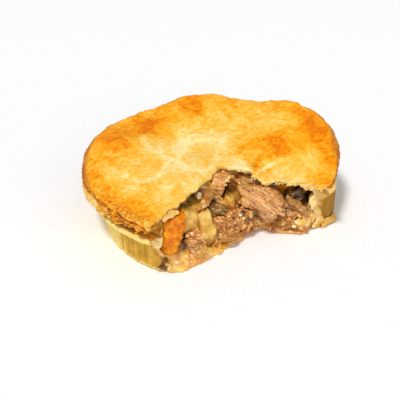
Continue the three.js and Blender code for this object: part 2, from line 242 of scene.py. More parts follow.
def node_mesh(node, shrink=1.0):
    """The points, in millimetres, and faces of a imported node, shrunk about its middle."""
    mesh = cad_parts[node].data
    points = Relief.read(mesh.vertices, "co") / MM
    middle = (points.min(axis=0) + points.max(axis=0)) / 2.0
    return middle + shrink * (points - middle), [tuple(face.vertices) for face in mesh.polygons]


def joined(parts):
    """Points and faces of several meshes as one."""
    points, faces, start = [], [], 0
    for part_points, part_faces in parts:
        points.append(part_points)
        faces += [tuple(start + i for i in face) for face in part_faces]
        start += len(part_points)
    return np.concatenate(points), faces


def fine_copy(name, parts, voxel):
    """A finely and evenly meshed copy of one or more solids."""
    obj = mesh_object(name, *joined(parts))
    remesh = obj.modifiers.new("voxels", "REMESH")
    remesh.mode = "VOXEL"
    remesh.voxel_size = voxel * MM
    bake_modifiers(obj)
    return Relief(obj)


def thin_out(obj, triangles):
    """Takes faces from where a mesh is plain, down to a number of triangles."""
    now = sum(len(face.vertices) - 2 for face in obj.data.polygons)
    if now > triangles:
        decimate = obj.modifiers.new("thin", "DECIMATE")
        decimate.ratio = triangles / now
        bake_modifiers(obj)


def finish_piece(obj, material, slot, *nodes):
    """Gives a piece its material and its place in the frame. The slot is not used."""
    obj.data.materials.clear()
    obj.data.materials.append(material)
    obj.data.shade_smooth()
    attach(obj, "root")
    if nodes:
        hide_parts(*nodes)


class Shader:
    """A material's nodes, put together from the surface inwards."""

    def __init__(self, name):
        self.material = bpy.data.materials.new(name)
        self.material.use_nodes = True
        self.tree = self.material.node_tree
        self.surface = self.tree.nodes["Principled BSDF"]
        self.place = self.node("ShaderNodeTexCoord").outputs["Object"]

    def node(self, kind, inputs=None, **settings):
        node = self.tree.nodes.new(kind)
        for name, value in settings.items():
            setattr(node, name, value)
        for name, value in (inputs or {}).items():
            self.plug(node.inputs[name], value)
        return node

    def plug(self, socket, value):
        """Gives an input a value, a node's output, or by its name a value painted on the mesh."""
        if isinstance(value, str):
            value = self.node("ShaderNodeAttribute", attribute_name=value).outputs["Fac"]
        if isinstance(value, bpy.types.NodeSocket):
            self.tree.links.new(value, socket)
        else:
            socket.default_value = value

    def set(self, **inputs):
        for name, value in inputs.items():
            self.plug(self.surface.inputs[name.replace("_", " ")], value)

    def noise(self, size, detail=2.0, stretch=(1.0, 1.0, 1.0)):
        """Noise of a size in millimetres, stretched along the axes."""
        sized = self.node("ShaderNodeVectorMath", {
            0: self.place, 1: [1.0 / s for s in stretch],
        }, operation="MULTIPLY")
        return self.node("ShaderNodeTexNoise", {
            "Vector": sized.outputs["Vector"], "Scale": 1.0 / (size * MM), "Detail": detail,
        }).outputs["Fac"]

    def math(self, operation, *values):
        return self.node("ShaderNodeMath", dict(enumerate(values)), operation=operation).outputs["Value"]

    def sum(self, start, *terms):
        """A value plus terms, each given as a value and its weight."""
        total = start
        for value, weight in terms:
            total = self.math("MULTIPLY_ADD", value, weight, total)
        return total

    def about(self, noise):
        """Noise less its middle, so that it goes both ways."""
        return self.math("SUBTRACT", noise, 0.5)

    def ramp(self, value, stops):
        """Colours along a value, from stops of a position and a colour from 0 to 255."""
        node = self.node("ShaderNodeValToRGB", {"Fac": value})
        elements = node.color_ramp.elements
        while len(elements) < len(stops):
            elements.new(1.0)
        for element, (position, rgb) in zip(elements, stops):
            element.position = position
            element.color = srgb(*rgb)
        return node.outputs["Color"]

    def mix(self, share, first, second):
        node = self.node("ShaderNodeMix", {"Factor": share}, data_type="RGBA")
        self.plug(node.inputs[6], first)
        self.plug(node.inputs[7], second)
        return node.outputs[2]

    def grade(self, value, low, high, start=0.0, end=1.0):
        """A value stretched from one range to another and kept inside it."""
        return self.node("ShaderNodeMapRange", {
            "Value": value, "From Min": low, "From Max": high, "To Min": start, "To Max": end,
        }).outputs["Result"]

    def tint(self, base, value, share, rgb, low=0.0, high=1.0):
        """A colour mixed into a base, up to a share, as a value goes from low to high."""
        return self.mix(self.grade(value, low, high, 0.0, share), base, srgb(*rgb))

    def bump(self, height, depth, socket="Normal", **inputs):
        """Relief finer than the mesh, of a depth in millimetres."""
        inputs.update(Height=height, Distance=depth * MM, Strength=1.0)
        self.plug(self.surface.inputs[socket], self.node("ShaderNodeBump", inputs).outputs["Normal"])

    def wet(self, coat, roughness=0.4):
        """The wet shine of gravy over food, broken up into small glints."""
        self.set(Roughness=roughness, Specular_IOR_Level=0.15)
        self.set(Coat_Weight=coat, Coat_Roughness=0.2, Coat_IOR=1.8)
        film = self.node("ShaderNodeAttribute", attribute_name="film").outputs["Vector"]
        self.bump(self.noise(2.0, 1.0), 0.35, "Coat Normal", Normal=film)


# Stage

# Camera: where it stands, what it looks at, its focal length, its sensor and the nearest that it sees.
EYE = (-10.4, -338.6, 205.0)
AIM = (-10.4, 16.5, 0.0)
LENS = 71.4
SENSOR = 36.0
NEAREST = 10.0

# Lights: the way that each comes from, its width in degrees and its strength. Then the room's light.
SUNS = {"key": ((-0.26, -0.34, 0.9), 12, 2.05), "fill": ((0.45, -0.85, 0.35), 60, 0.8)}
ROOM_LIGHT = 0.37

FLOOR_HALF = 3000.0
FLOOR_WHITES = [(0.3, (252, 252, 252)), (0.7, (255, 255, 255))]


def add_sun(name, source, width, strength):
    """An even soft light."""
    lamp = bpy.data.lights.new(name, "SUN")
    lamp.angle = math.radians(width)
    lamp.energy = strength
    obj = new_object(name, lamp)
    obj.rotation_euler = Vector(source).to_track_quat("Z", "Y").to_euler()


def add_camera():
    camera = bpy.data.cameras.new("camera")
    camera.lens = LENS
    camera.sensor_width = SENSOR
    camera.clip_start = NEAREST * MM
    obj = new_object("camera", camera)
    obj.location = Vector(EYE) * MM
    obj.rotation_euler = (Vector(AIM) - Vector(EYE)).to_track_quat("-Z", "Y").to_euler()
    bpy.context.scene.camera = obj


def floor_material():
    shader = Shader("pale_floor")
    shader.set(Base_Color=shader.ramp(shader.noise(3.0), FLOOR_WHITES), Roughness=0.55)
    return shader.material


def add_floor():
    corners = FLOOR_HALF * np.array([(-1.0, -1.0, 0.0), (1.0, -1.0, 0.0), (1.0, 1.0, 0.0), (-1.0, 1.0, 0.0)])
    floor = mesh_object("floor", corners, [(0, 1, 2, 3)])
    floor.data.materials.append(floor_material())


def add_world():
    world = bpy.data.worlds.new("studio")
    world.use_nodes = True
    background = world.node_tree.nodes["Background"]
    background.inputs["Color"].default_value = (1.0, 1.0, 1.0, 1.0)
    background.inputs["Strength"].default_value = ROOM_LIGHT
    bpy.context.scene.world = world
    bpy.context.scene.view_settings.view_transform = "Standard"


def add_stage():
    add_world()
    add_floor()
    for name, light in SUNS.items():
        add_sun(name, *light)
    add_camera()


# Lid

# Its middle, the size of its voxels, its triangles, and the steps and least reach of its outline.
LID_MIDDLE = np.array([-4.0, 0.0])
LID_VOXEL = 0.46
LID_TRIANGLES = 190000
OUTLINE_STEPS = 180
LEAST_REACH = 58.0

# The ways that the brush strokes on it run, in degrees, and how far its blotches stretch to the back.
STREAK_TURNS = (38.0, -14.0)
BLOTCH_STRETCH = 1.25

# The crisp front of its lip: its middle and spread in degrees, and the height of the seam along it.
FRONT_ANGLE = -128.0
FRONT_SPREAD = 26.0
SEAM_HEIGHT = 27.2

# The height of the pale layer under the lip at the far left, and how much lower it is at the front.
UNDERLIP_HEIGHT = 26.4
UNDERLIP_DROP = 4.5

# Torn edge of the lid: how far it rises and draws back over the right opening, and other moves of it as
# a middle, spread and move. Then the flap's browned stripe, the line of its raised side that gets a painted
# highlight, and how far off the painted shade beside that side lies.
TEAR_LIFT = 2.5
TEAR_BACK = 3.0
TEAR_MOVES = [
    ((-23.4, -43.0), 2.4, (-0.9, 1.2, 0.0)), ((-15.8, -33.5), 3.6, (-1.1, 1.4, 0.0)),
    ((12.5, -12.5), 5.0, (0.0, 3.2, 1.3)), ((14.6, -11.2), 1.3, (-0.2, -1.4, -0.4)),
]
FLAP_STRIPE = [[(18.4, 3.0), (16.4, -2.0), (14.7, -6.8), (14.0, -13.0)]]
FLAP_LIT_RIDGE = [[(34.2, 4.4), (28.7, 2.0), (23.2, -0.9), (20.1, -4.4), (16.9, -8.8), (15.0, -13.0)]]
FLAP_SHADE = np.array([1.0, -1.3, 0.0])

# Browned blotches of the lid, and its pale places: place, spread and strength.
BROWNED = [
    (-51.7, 13.9, 4, 0.36), (-49.9, 5.0, 4, 0.22), (-46.5, 22.4, 5, 0.3), (-39.6, 32.5, 5, 0.36),
    (-34.8, 28.9, 5, 0.25), (-29.3, 32.7, 5, 0.18), (-28.6, 41.0, 6, 0.18), (-15.7, 48.8, 5.5, 0.28),
    (-12.0, 41.5, 4, 0.28), (-15.5, 33.1, 5, 0.14), (-2.7, 32.2, 5, 0.14), (1.8, 51.1, 5, 0.14),
    (12.4, 27.0, 6, 0.18), (12.6, 9.4, 5, 0.26), (21.9, 17.9, 5.5, 0.26), (27.6, 8.4, 4.5, 0.5),
    (32.0, 14.5, 5, 0.22), (43.2, 23.5, 6, 0.24), (41.2, 13.2, 5, 0.2), (16.4, -2.0, 3.2, 0.12),
    (49.3, 9.6, 6, 0.12), (52.7, 3.9, 5, 0.15), (-47.5, -6.8, 3.5, 0.16), (-42.4, 1.0, 5, 0.14),
    (-59.0, -4.8, 4, 0.16), (-59.6, -17.8, 4, 0.22), (-52.9, -30.6, 3.5, 0.28), (-38.6, -43.3, 5, 0.2),
    (-45.1, -38.2, 4, 0.18), (-31.9, -45.7, 5, 0.14), (-34.0, -5.7, 4, 0.1), (46.4, -8.7, 5, 0.2),
    (51.6, 18.3, 5, 0.14), (10.5, 42.8, 5, 0.1), (28.5, 38.5, 4, 0.24), (38.6, 34.5, 4, 0.26),
    (44.5, 30.0, 4, 0.24), (-38.5, 18.5, 4, 0.16), (-31.0, 20.0, 4.5, 0.2), (-24.5, 19.5, 3.5, 0.12),
    (-36.0, -25.5, 4.5, 0.15), (-28.0, -31.0, 5, 0.12), (-57.0, 22.0, 4, 0.2), (-60.0, 12.0, 4, 0.2),
    (11.0, 10.5, 4, 0.16),
]
PALE = [
    (-17.9, 19.3, 7, 0.16), (-24.9, 5.5, 7, 0.16), (-20.7, -10.6, 8, 0.16), (-34.4, 2.7, 4, 0.16),
    (-2.4, 21.3, 6, 0.14), (-9.0, -19.7, 7, 0.12), (3.0, 0.2, 5, 0.14), (10.2, 36.5, 5, 0.12),
    (32.1, 35.1, 5, 0.12), (32.9, -0.1, 6, 0.12), (23.4, 2.4, 4, 0.12), (-54.6, -11.9, 4, 0.16),
    (-25.9, -32.0, 7, 0.12), (-42.1, -24.1, 6, 0.1), (-37.4, 13.3, 4, 0.14), (20.8, 25.3, 4, 0.12),
    (36.9, -8.5, 5, 0.1), (6.0, -8.8, 5, 0.14), (8.6, -7.2, 2.8, 0.8), (46.5, -0.5, 4.5, 0.32),
    (39.0, 8.0, 4.5, 0.2), (30.0, 16.1, 3.5, 0.15), (7.6, 20.7, 4.5, 0.2),
]

# Pale cracks of the lid's glaze, as lines of places, and the line along its dull patch.
CRACKS = [
    [(-36.4, 4.2), (-33.9, 2.8), (-27.6, 0.0), (-21.3, -5.1), (-16.0, -11.1), (-9.9, -14.2), (-3.8, -7.2)],
    [(-24.6, -2.5), (-27.1, -11.9), (-29.6, -18.6), (-33.2, -21.4), (-37.7, -21.7)],
    [(-21.3, -5.1), (-19.6, 4.4), (-17.3, 13.0), (-14.4, 20.9)],
    [(-33.9, 2.8), (-36.7, 10.0), (-38.2, 18.3)],
    [(-14.3, 14.0), (-7.4, 16.8), (0.5, 17.7)],
]
DULL_PATCH = [[(-11.6, 0.6), (-7.6, 9.4)]]
DULL_REACH = 5.2

# Colours of its crust from pale to dark, and of its inside.
GOLDEN = [
    (0.0, (253, 229, 160)), (0.2, (251, 209, 112)), (0.4, (251, 192, 74)),
    (0.6, (249, 171, 30)), (0.8, (246, 149, 4)), (1.0, (226, 120, 2)),
]
LID_DOUGH = [(0.3, (242, 204, 126)), (0.7, (252, 230, 166))]


def lid_places(points):
    """Angle about the lid's middle, distance from it, and share of the way to the outline."""
    away = points[:, :2] - LID_MIDDLE
    angle = np.arctan2(away[:, 1], away[:, 0])
    radius = np.hypot(*away.T)
    place = ((angle + math.pi) / FULL_TURN * OUTLINE_STEPS).astype(int) % OUTLINE_STEPS
    outline = np.full(OUTLINE_STEPS, LEAST_REACH)
    np.maximum.at(outline, place, radius)
    centres = (np.arange(OUTLINE_STEPS) + 0.5) / OUTLINE_STEPS * FULL_TURN - math.pi
    return angle, radius, radius / np.interp(angle, centres, outline, period=FULL_TURN)


def left_angle(angle):
    """An angle from minus a full turn to 0, so that it doesn't jump at the left."""
    return np.where(angle > 0.0, angle - FULL_TURN, angle)


def spots(points, places):
    """The sum of soft spots at the points, each of a place, spread and strength."""
    total = np.zeros(len(points))
    for x, y, spread, strength in places:
        gone = (points[:, 0] - x) ** 2 + ((points[:, 1] - y) / BLOTCH_STRETCH) ** 2
        total += strength * np.exp(-gone / (2.0 * spread ** 2))
    return total


def away_from(points, lines):
    """How far each point lies from the nearest of some lines, seen from above."""
    nearest = np.full(len(points), np.inf)
    for line in np.array([pair for line in lines for pair in zip(line, line[1:])]):
        run = line[1] - line[0]
        share = share_of((points[:, :2] - line[0]) @ run / (run @ run))
        gone = points[:, :2] - line[0] - share[:, None] * run
        nearest = np.minimum(nearest, np.linalg.norm(gone, axis=1))
    return nearest


def along_lines(points, lines, width):
    """1 on some lines, and softly down to 0 beside them."""
    return np.exp(-(away_from(points, lines) / width) ** 2)


def streaks(points, seed, along, across):
    """Noise in short streaks, which run one way in some places and another way in others."""
    fields = []
    for degrees in STREAK_TURNS:
        turn = math.radians(degrees)
        u = points[:, 0] * math.cos(turn) + points[:, 1] * math.sin(turn)
        v = points[:, 1] * math.cos(turn) - points[:, 0] * math.sin(turn)
        fields.append(grain(columns(u, v, points[:, 2]), seed, (along, across, along)))
    share = rise(-0.25, 0.25, grain(points, seed + 50, 16.0, 1))
    return fields[0] + share * (fields[1] - fields[0])


def depth_below(points, cell=1.0):
    """How far each point lies below the highest point over the same small square."""
    places = np.floor((points[:, :2] - points[:, :2].min(axis=0)) / cell).astype(int)
    top = np.full(places.max(axis=0) + 1, -np.inf)
    np.maximum.at(top, tuple(places.T), points[:, 2])
    return top[tuple(places.T)] - points[:, 2]


def smooth_lid(lid, share, front):
    """Evens out the steps of the voxels, most of all on the top and at the front of the lip."""
    top = rise(0.3, 0.6, lid.normals()[:, 2]) * fade(0.9, 0.97, share)
    lid.relax(40, 0.5 * lid.soften(top, 3))
    lid.relax(30, 0.5 * front * rise(0.84, 0.92, share))
    lid.relax(2)


def shape_tear(lid):
    """Thins the torn edge over the right opening, bites into the left one and draws out the flap."""
    x, y, _ = lid.points.T
    here = window((19.0, 26.0), (42.0, 47.0), x) * fade(-14.0, -7.0, y)
    lid.points[:, 2] += TEAR_LIFT * here * rise(0.3, 2.2, depth_below(lid.points))
    lid.points[:, 1] += TEAR_BACK * here * fade(-16.0, -12.0, y)
    for middle, spread, move in TEAR_MOVES:
        gone = np.sum((lid.points[:, :2] - middle) ** 2, axis=1)
        lid.points += np.exp(-gone / (2.0 * spread ** 2))[:, None] * np.array(move)


def lid_regions(lid, angle, radius, share, front):
    """The places of the lid's points, and how far each belongs to the regions of the lid."""
    points = lid.points.copy()
    up = lid.normals()[:, 2]
    rim = rise(0.9, 0.985, share) * fade(0.45, 0.75, up)
    torn = fade(0.35, 0.6, np.abs(up)) * fade(0.9, 0.96, share)
    under = rise(0.2, 0.5, -up)
    top = share_of(1.0 - rim - torn - under)
    return SimpleNamespace(
        points=points, angle=angle, left_angle=left_angle(angle), radius=radius, share=share,
        up=up, depth=depth_below(points), front=front, rim=rim, torn=torn, under=under, top=top,
        crisp=front * rise(0.86, 0.95, share),
        near_tear=share_of(4.0 * lid.soften(torn, 30)) * top,
        right=rise(0.0, 8.0, points[:, 0]),
        ragged=0.3 + 0.7 * rise(2.0, 16.0, points[:, 0]),
    )


def add_lid_patterns(at):
    """Adds the patterns that the lid's relief and its colours share."""
    points = at.points
    at.uneven = drift(drift(points, 6, 11.0, 4.0), 13, 3.0, 1.4)
    at.flakes = grain(columns(at.angle, at.radius, points[:, 2]), 3, (1 / 12, 9.0, 0.75))
    at.faint = 0.5 + 0.5 * rise(-0.3, 0.4, grain(points, 19, 9.0, 1))
    at.brushed = at.faint * streaks(drift(points, 17, 14.0, 2.0), 5, 5.0, 1.9)
    seam = SEAM_HEIGHT + 0.9 * grain(points, 27, 5.0, 1)
    at.groove = at.front * np.exp(-((points[:, 2] - seam) / 0.5) ** 2) * rise(0.9, 0.95, at.share)
    at.stripe = along_lines(drift(points, 34, 3.0, 0.8), FLAP_STRIPE, 2.3) * at.top
    fading = at.top * (1.0 - 0.7 * rise(20.0, 32.0, points[:, 0]))
    # The flap's raised side gets a painted highlight, and the dip beside it painted shade.
    at.side = along_lines(points, FLAP_LIT_RIDGE, 1.2) * (1.0 - at.stripe) * fading
    at.beside = along_lines(points - FLAP_SHADE, FLAP_LIT_RIDGE, 1.0) * (1.0 - at.side) * fading


def lid_relief(at):
    """How far the lid's surface stands out, in millimetres."""
    points = at.points
    outer = rise(0.8, 0.9, at.share) * (1.0 - at.torn)
    return sum({
        "waves": 0.4 * at.top * grain(points, 7, 12.0),
        "strokes": 0.16 * at.top * at.brushed,
        "pores": 0.07 * at.top * grain(points, 8, 1.5, 1),
        "crumbs": 0.45 * at.crisp * grain(points, 9, 1.7),
        "knobs": 0.9 * at.crisp * billows(points, 26, 3.2),
        "seam": -0.6 * at.groove,
        "flap": 0.7 * at.stripe * fade(-6.0, 0.0, points[:, 1]) + 0.4 * at.side - 0.3 * at.beside,
        "flakes": at.rim * (0.35 + 0.45 * at.front) * at.flakes,
        "bumps": outer * (0.22 * grain(points, 33, 2.4) + 0.5 * grain(points, 35, 6.5)),
        "rags": 0.8 * at.ragged * at.torn * grain(points, 10, (1.8, 1.8, 0.8)),
    }.values())


def lid_bake(at, underlip):
    """How brown the lid's crust is, from 0 to a little over 1."""
    cracks = along_lines(drift(at.points, 15, 4.0, 1.6), CRACKS, 1.3)
    bake = sum({
        "start": 0.3,
        "outside": 0.2 * rise(0.6, 0.94, at.share) + 0.08 * at.rim,
        "blotches": 1.1 * spots(at.uneven, BROWNED) - 0.55 * spots(at.uneven, PALE),
        "patches": 0.12 * (rise(-0.12, 0.12, grain(at.uneven, 14, 8.0)) - 0.5),
        "cracks": -0.36 * cracks * (0.8 + 0.6 * at.brushed),
        "mottle": 0.12 * grain(at.uneven, 11, 4.0) + 0.2 * grain(at.uneven, 28, 1.9),
        "strokes": 0.14 * at.brushed + 0.08 * at.faint * streaks(at.uneven, 12, 2.0, 0.9),
        "tear": -0.13 * at.near_tear * at.right,
        # The flap's browned stripe, the painted highlight along its side and the painted shade beside it.
        "flap": 0.42 * at.stripe - 0.6 * at.side + 0.2 * at.beside,
        "underlip": -0.5 * underlip,
        "front": -0.07 * at.front * window((0.62, 0.72), (0.84, 0.9), at.share),
    }.values())
    return np.clip(bake, 0.0, 1.2)


def lid_toast_and_shade(at):
    """How dark the lid is where it turns down to its outline: toasted there, with painted shade most of all
    at the back, and only painted shade at the far left.
    """
    back = rise(-0.2, 0.6, np.sin(at.angle))
    turned = fade(0.35 + 0.53 * back, 0.8 + 0.19 * back, at.up)
    shoulder = rise(0.76, 0.86, at.share) * turned * (1.0 - at.torn)
    # Painted shade at the far left.
    far_left_shade = window((-3.8, -3.4), (-2.95, -2.7), at.left_angle) * rise(0.84, 0.92, at.share)
    toast = shoulder * (0.75 + 0.4 * at.flakes) * (1.0 - 0.6 * at.front)
    return toast + 0.5 * far_left_shade * fade(0.6, 0.95, at.up)


def lid_underlip(at):
    """Where the pale layer under the lip shows, at the left."""
    band = UNDERLIP_HEIGHT - UNDERLIP_DROP * rise(-2.65, -2.3, at.left_angle)
    below = fade(band - 0.7, band + 0.7, at.points[:, 2])
    return at.rim * below * window((-3.8, -3.25), (-2.4, -2.2), at.left_angle)


def paint_lid(lid, at):
    underlip = lid_underlip(at)
    hollow = lid.hollows(4)
    dull = fade(0.8, 1.05, away_from(drift(at.points, 18, 5.0, 1.4), DULL_PATCH) / DULL_REACH)
    broken = 0.35 + 0.65 * rise(-0.25, 0.25, grain(at.points, 30, 3.0))
    cream = broken * at.ragged * at.torn * (1.0 - 0.8 * rise(0.6, 1.8, at.depth)) + 0.4 * at.under
    # Painted shade in the hollows of the rim and the crisp lip, and in the groove of the seam.
    crevice = (at.rim + 0.9 * at.crisp) * (1.0 - 0.8 * underlip) * rise(0.02, 0.2, hollow)
    seam = at.groove * rise(-0.1, 0.3, grain(at.points, 29, 4.0, 1))
    lid.paint(
        bake=lid_bake(at, underlip),
        cream=share_of(lid.soften(cream, 1)),
        # The dull patch, and painted shade along the left tear edge.
        dull=np.maximum(dull, at.near_tear * (1.0 - at.right)),
        toast=share_of(lid_toast_and_shade(at) * (1.0 - underlip)),
        crevice=np.maximum(lid.soften(crevice, 1), seam),
        crisp=at.crisp * (1.0 - underlip),
        # Gravy soak and painted shade on the lower torn face and on the underside.
        soaked=(at.torn + at.under) * rise(0.7, 1.8, at.depth),
        # Painted highlight on the knobs of the crisp lip.
        knob=at.crisp * rise(0.04, 0.25, -hollow),
    )


def make_lid():
    """The lid's piece, and the places and outward ways of the points along its torn edge."""
    lid = fine_copy("lid_crust", [node_mesh("lid")], LID_VOXEL)
    angle, radius, share = lid_places(lid.points)
    front = np.exp(-0.5 * ((np.degrees(angle) - FRONT_ANGLE) / FRONT_SPREAD) ** 2)
    smooth_lid(lid, share, front)
    shape_tear(lid)
    at = lid_regions(lid, angle, radius, share, front)
    add_lid_patterns(at)
    lid.rip(at.ragged * share_of(2.0 * lid.soften(at.torn, 6)), 16, 3.0, 1.5)
    lid.push(lid_relief(at))
    lid.write()
    paint_lid(lid, at)
    tear = np.flatnonzero((at.torn > 0.6) & (at.depth < 1.2))
    tear_edge = at.points[tear], unit(lid.normals()[tear] * (1.0, 1.0, 0.0))
    thin_out(lid.obj, LID_TRIANGLES)
    finish_piece(lid.obj, lid_material(), "lid_crust", "lid")
    return lid.obj, tear_edge


def lid_material():
    shader = Shader("lid_pastry")
    fine = shader.noise(0.9, 4.0, stretch=(1.5, 1.0, 1.0))
    crust = shader.ramp(shader.sum("bake", (shader.about(fine), 0.5)), GOLDEN)
    # The dull patch, and painted shade along the left tear edge.
    crust = shader.tint(crust, "dull", 0.5, (240, 192, 84))
    # Toasting and painted shade where the lid turns down to its outline.
    crust = shader.tint(crust, "toast", 0.8, (176, 92, 24))
    crust = shader.mix("cream", crust, shader.ramp(shader.noise(2.5), LID_DOUGH))
    # Gravy soak and painted shade on the lower torn face and on the underside.
    crust = shader.tint(crust, "soaked", 0.85, (128, 74, 26))
    # Painted highlight on the knobs of the crisp lip.
    crust = shader.tint(crust, "knob", 0.75, (255, 196, 92))
    crumbs = shader.math("MULTIPLY", shader.grade(shader.noise(1.0, 3.0), 0.54, 0.7), "crisp")
    # Painted shade in crevices and in the seam's groove, with dark crumbs on the crisp lip.
    crust = shader.tint(crust, shader.sum("crevice", (crumbs, 0.7)), 0.9, (132, 62, 10))
    shader.set(Base_Color=crust, Roughness=shader.grade(fine, 0.2, 0.8, 0.4, 0.6), Specular_IOR_Level=0.1)
    shader.bump(shader.noise(0.6, 3.0), 0.14)
    return shader.material


# Case

CASE_VOXEL = 0.6
CASE_TRIANGLES = 190000

# The angle, about the pie, where the pale corner of the wall turns to gold.
PALE_CORNER = -2.5

# Colours of its crust from pale to dark, and of its inside.
CASE_GOLD = [(0.0, (255, 226, 136)), (0.3, (246, 204, 100)), (0.6, (216, 166, 54)), (1.0, (164, 114, 20))]
CASE_DOUGH = [(0.3, (240, 170, 96)), (0.6, (255, 210, 130))]


def case_regions(case):
    """The places of the case's points, its patterns, and how far each point belongs to its regions."""
    points = case.points.copy()
    x, y, height = points.T
    angle = np.arctan2(y, x)
    radius = np.hypot(x, y)
    normal = case.normals()
    outward = np.sum(normal[:, :2] * points[:, :2], axis=1) / np.maximum(radius, 1.0)
    flange = rise(15.2, 17.0, height)
    torn = fade(0.5, 0.8, np.abs(outward)) * fade(0.5, 0.8, np.abs(normal[:, 2]))
    return SimpleNamespace(
        x=x, height=height, angle=angle, radius=radius, up=normal[:, 2], flange=flange,
        wall=rise(0.4, 0.75, outward) * (1.0 - flange), torn=share_of(case.soften(torn, 2)),
        pleats=grain(columns(angle, angle, height), 21, (1 / 48, 1.0, 22.0)),
        layers=grain(columns(angle, radius, height), 22, (1 / 9, 2.0, 0.9)),
        lumps=grain(points, 23, 5.0), rags=grain(points, 24, 1.9),
    )


def case_gold_and_shade(at, crusted):
    """How golden the case's crust is, with a pale corner at the left and painted shade on the wall at the
    right.
    """
    edge = np.maximum(fade(1.0, 3.0, at.height - 2.4 * at.pleats), at.flange)
    corner = left_angle(at.angle) + 0.05 * at.pleats - PALE_CORNER
    pale = window((-0.5, -0.25), (-0.06, 0.08), corner)
    gold = at.wall * (1.0 - edge) * (0.62 + 0.3 * at.pleats + 0.18 * at.lumps)
    gold = (gold + 0.25 * at.flange * at.layers) * (1.0 - 0.85 * pale)
    # Painted shade on the outer wall at the right.
    gold += 0.5 * at.wall * window((-0.5, -0.1), (0.1, 0.5), at.angle)
    return gold + 0.5 * crusted * (0.8 + 0.4 * at.lumps) * fade(12.5, 14.0, at.height)


def paint_case(case, at):
    """Paints the case. Its left torn end is crusted outside, and darkened at its foot by gravy soak and
    painted shade.
    """
    left_end = at.torn * (at.x < 0.0)
    torn = at.torn - left_end * fade(-30.4, -28.2, at.x)
    case.paint(
        gold=share_of(case_gold_and_shade(at, left_end * (1.0 - torn))),
        torn=torn,
        amber=rise(0.5, 0.8, at.up) * at.flange * fade(60.0, 63.0, at.radius),
        soaked=torn * (at.x < 0.0) * fade(8.0, 10.5, at.height + 1.5 * at.rags),
        layered=torn * rise(12.0, 14.0, at.height),
    )


def make_case():
    case = fine_copy("case_crust", [node_mesh("case")], CASE_VOXEL)
    case.relax(6)
    at = case_regions(case)
    case.rip(share_of(2.5 * case.soften(at.torn, 12)), 25, 4.5, 2.2)
    crust = 0.16 * at.wall * at.pleats + 0.3 * at.flange * at.layers
    case.push(crust + 0.18 * at.lumps + 1.1 * at.torn * at.rags)
    case.write()
    paint_case(case, at)
    thin_out(case.obj, CASE_TRIANGLES)
    finish_piece(case.obj, case_material(), "case_crust", "case")
    return case.obj


def case_material():
    shader = Shader("case_pastry")
    speckle = shader.noise(1.1, 3.0)
    gold = shader.sum("gold", (shader.about(speckle), 0.3))
    pastry = shader.tint(shader.ramp(gold, CASE_GOLD), "amber", 0.9, (252, 160, 24))
    dough = shader.tint(shader.ramp(speckle, CASE_DOUGH), "layered", 0.8, (255, 236, 172))
    crust = shader.mix("torn", pastry, dough)
    # Gravy soak and painted shade at the foot of the left torn end.
    crust = shader.tint(crust, "soaked", 0.9, (108, 52, 10))
    shader.set(Base_Color=crust, Roughness=0.6, Specular_IOR_Level=0.12)
    shader.bump(shader.noise(0.7, 3.0), 0.1)
    return shader.material


# Stew

# The size of the voxels and the triangles of the gravy and the chunks, and how much of a chunk's solid
# the gravy takes in.
GRAVY_VOXEL = 0.55
GRAVY_TRIANGLES = 170000
CHUNKS = [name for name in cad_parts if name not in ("case", "lid", "filling")]
CHUNK_VOXEL = 0.3
CHUNK_TRIANGLES = 24000
CHUNK_CORE = 0.74

# How high the foot of the gravy starts to run out, and how far it runs.
FOOT_RISE = 4.0
FOOT_SPREAD = 1.0

# How far the foot of a chunk is drawn in under the gravy, below a height, and the way in.
TUCK = 3.0
TUCK_RISE = 9.0
INTO_PIE = np.array([-0.3, 0.94, 0.1])

# The chunk that is not darker towards its bottom and how much paler it is, and the height that one is kept
# under.
PALE_CHUNKS = ("potato_right",)
PALE_CHUNK_TONE = 0.8
TOPS = {"carrot_left": 25.5}

# Gaps in the face of the stew, sunk in and painted near black as painted shade: place, spread and depth. A
# place counts as in a gap from a nearness.
GAPS = [
    (-17.1, -34.8, 26.8, 2.6, 5.0), (-15.2, -28.5, 24.6, 2.6, 5.0), (-13.0, -22.8, 23.6, 2.6, 4.0),
    (-17.4, -43.4, 14.0, 1.9, 3.0), (-17.6, -44.4, 11.0, 1.9, 3.0), (3.8, -14.0, 24.4, 2.3, 5.0),
    (3.4, -11.0, 21.2, 2.4, 4.5), (-6.6, -26.4, 18.6, 1.8, 2.5), (-3.4, -20.8, 20.0, 1.8, 2.0),
    (17.0, -18.0, 12.6, 1.7, 3.0), (20.5, -17.5, 11.0, 1.7, 3.0), (14.4, -17.6, 10.0, 1.3, 2.5),
    (34.5, -12.5, 10.6, 1.9, 3.0), (38.0, -7.5, 19.0, 3.2, 3.0), (42.0, -8.5, 17.0, 3.2, 3.0),
    (-26.2, -47.4, 4.8, 1.8, 2.0), (5.6, -25.0, 13.4, 1.0, 3.0), (6.2, -26.4, 10.4, 1.0, 3.0),
    (28.7, -10.5, 18.5, 2.2, 3.0), (31.2, -16.2, 13.0, 1.5, 2.5), (34.0, -15.6, 12.6, 1.2, 2.0),
    (26.4, -13.8, 22.8, 2.4, 6.5), (29.4, -11.6, 22.4, 2.0, 5.0), (10.2, -19.8, 13.2, 1.2, 3.0),
    (11.4, -20.8, 11.2, 1.2, 3.0), (12.8, -20.6, 9.8, 1.2, 3.0),
]
GAP_START = 0.3

# Places of painted shade on the stew under the lid and at its left foot: place, spread and strength.
SHADED = [
    (28.7, -10.5, 18.0, 4.0, 0.55), (33.0, -14.5, 14.5, 3.0, 0.45), (26.5, -14.0, 20.5, 3.0, 0.35),
    (12.0, -13.0, 26.5, 3.5, 0.3), (-25.0, -46.5, 3.0, 3.0, 0.5),
]

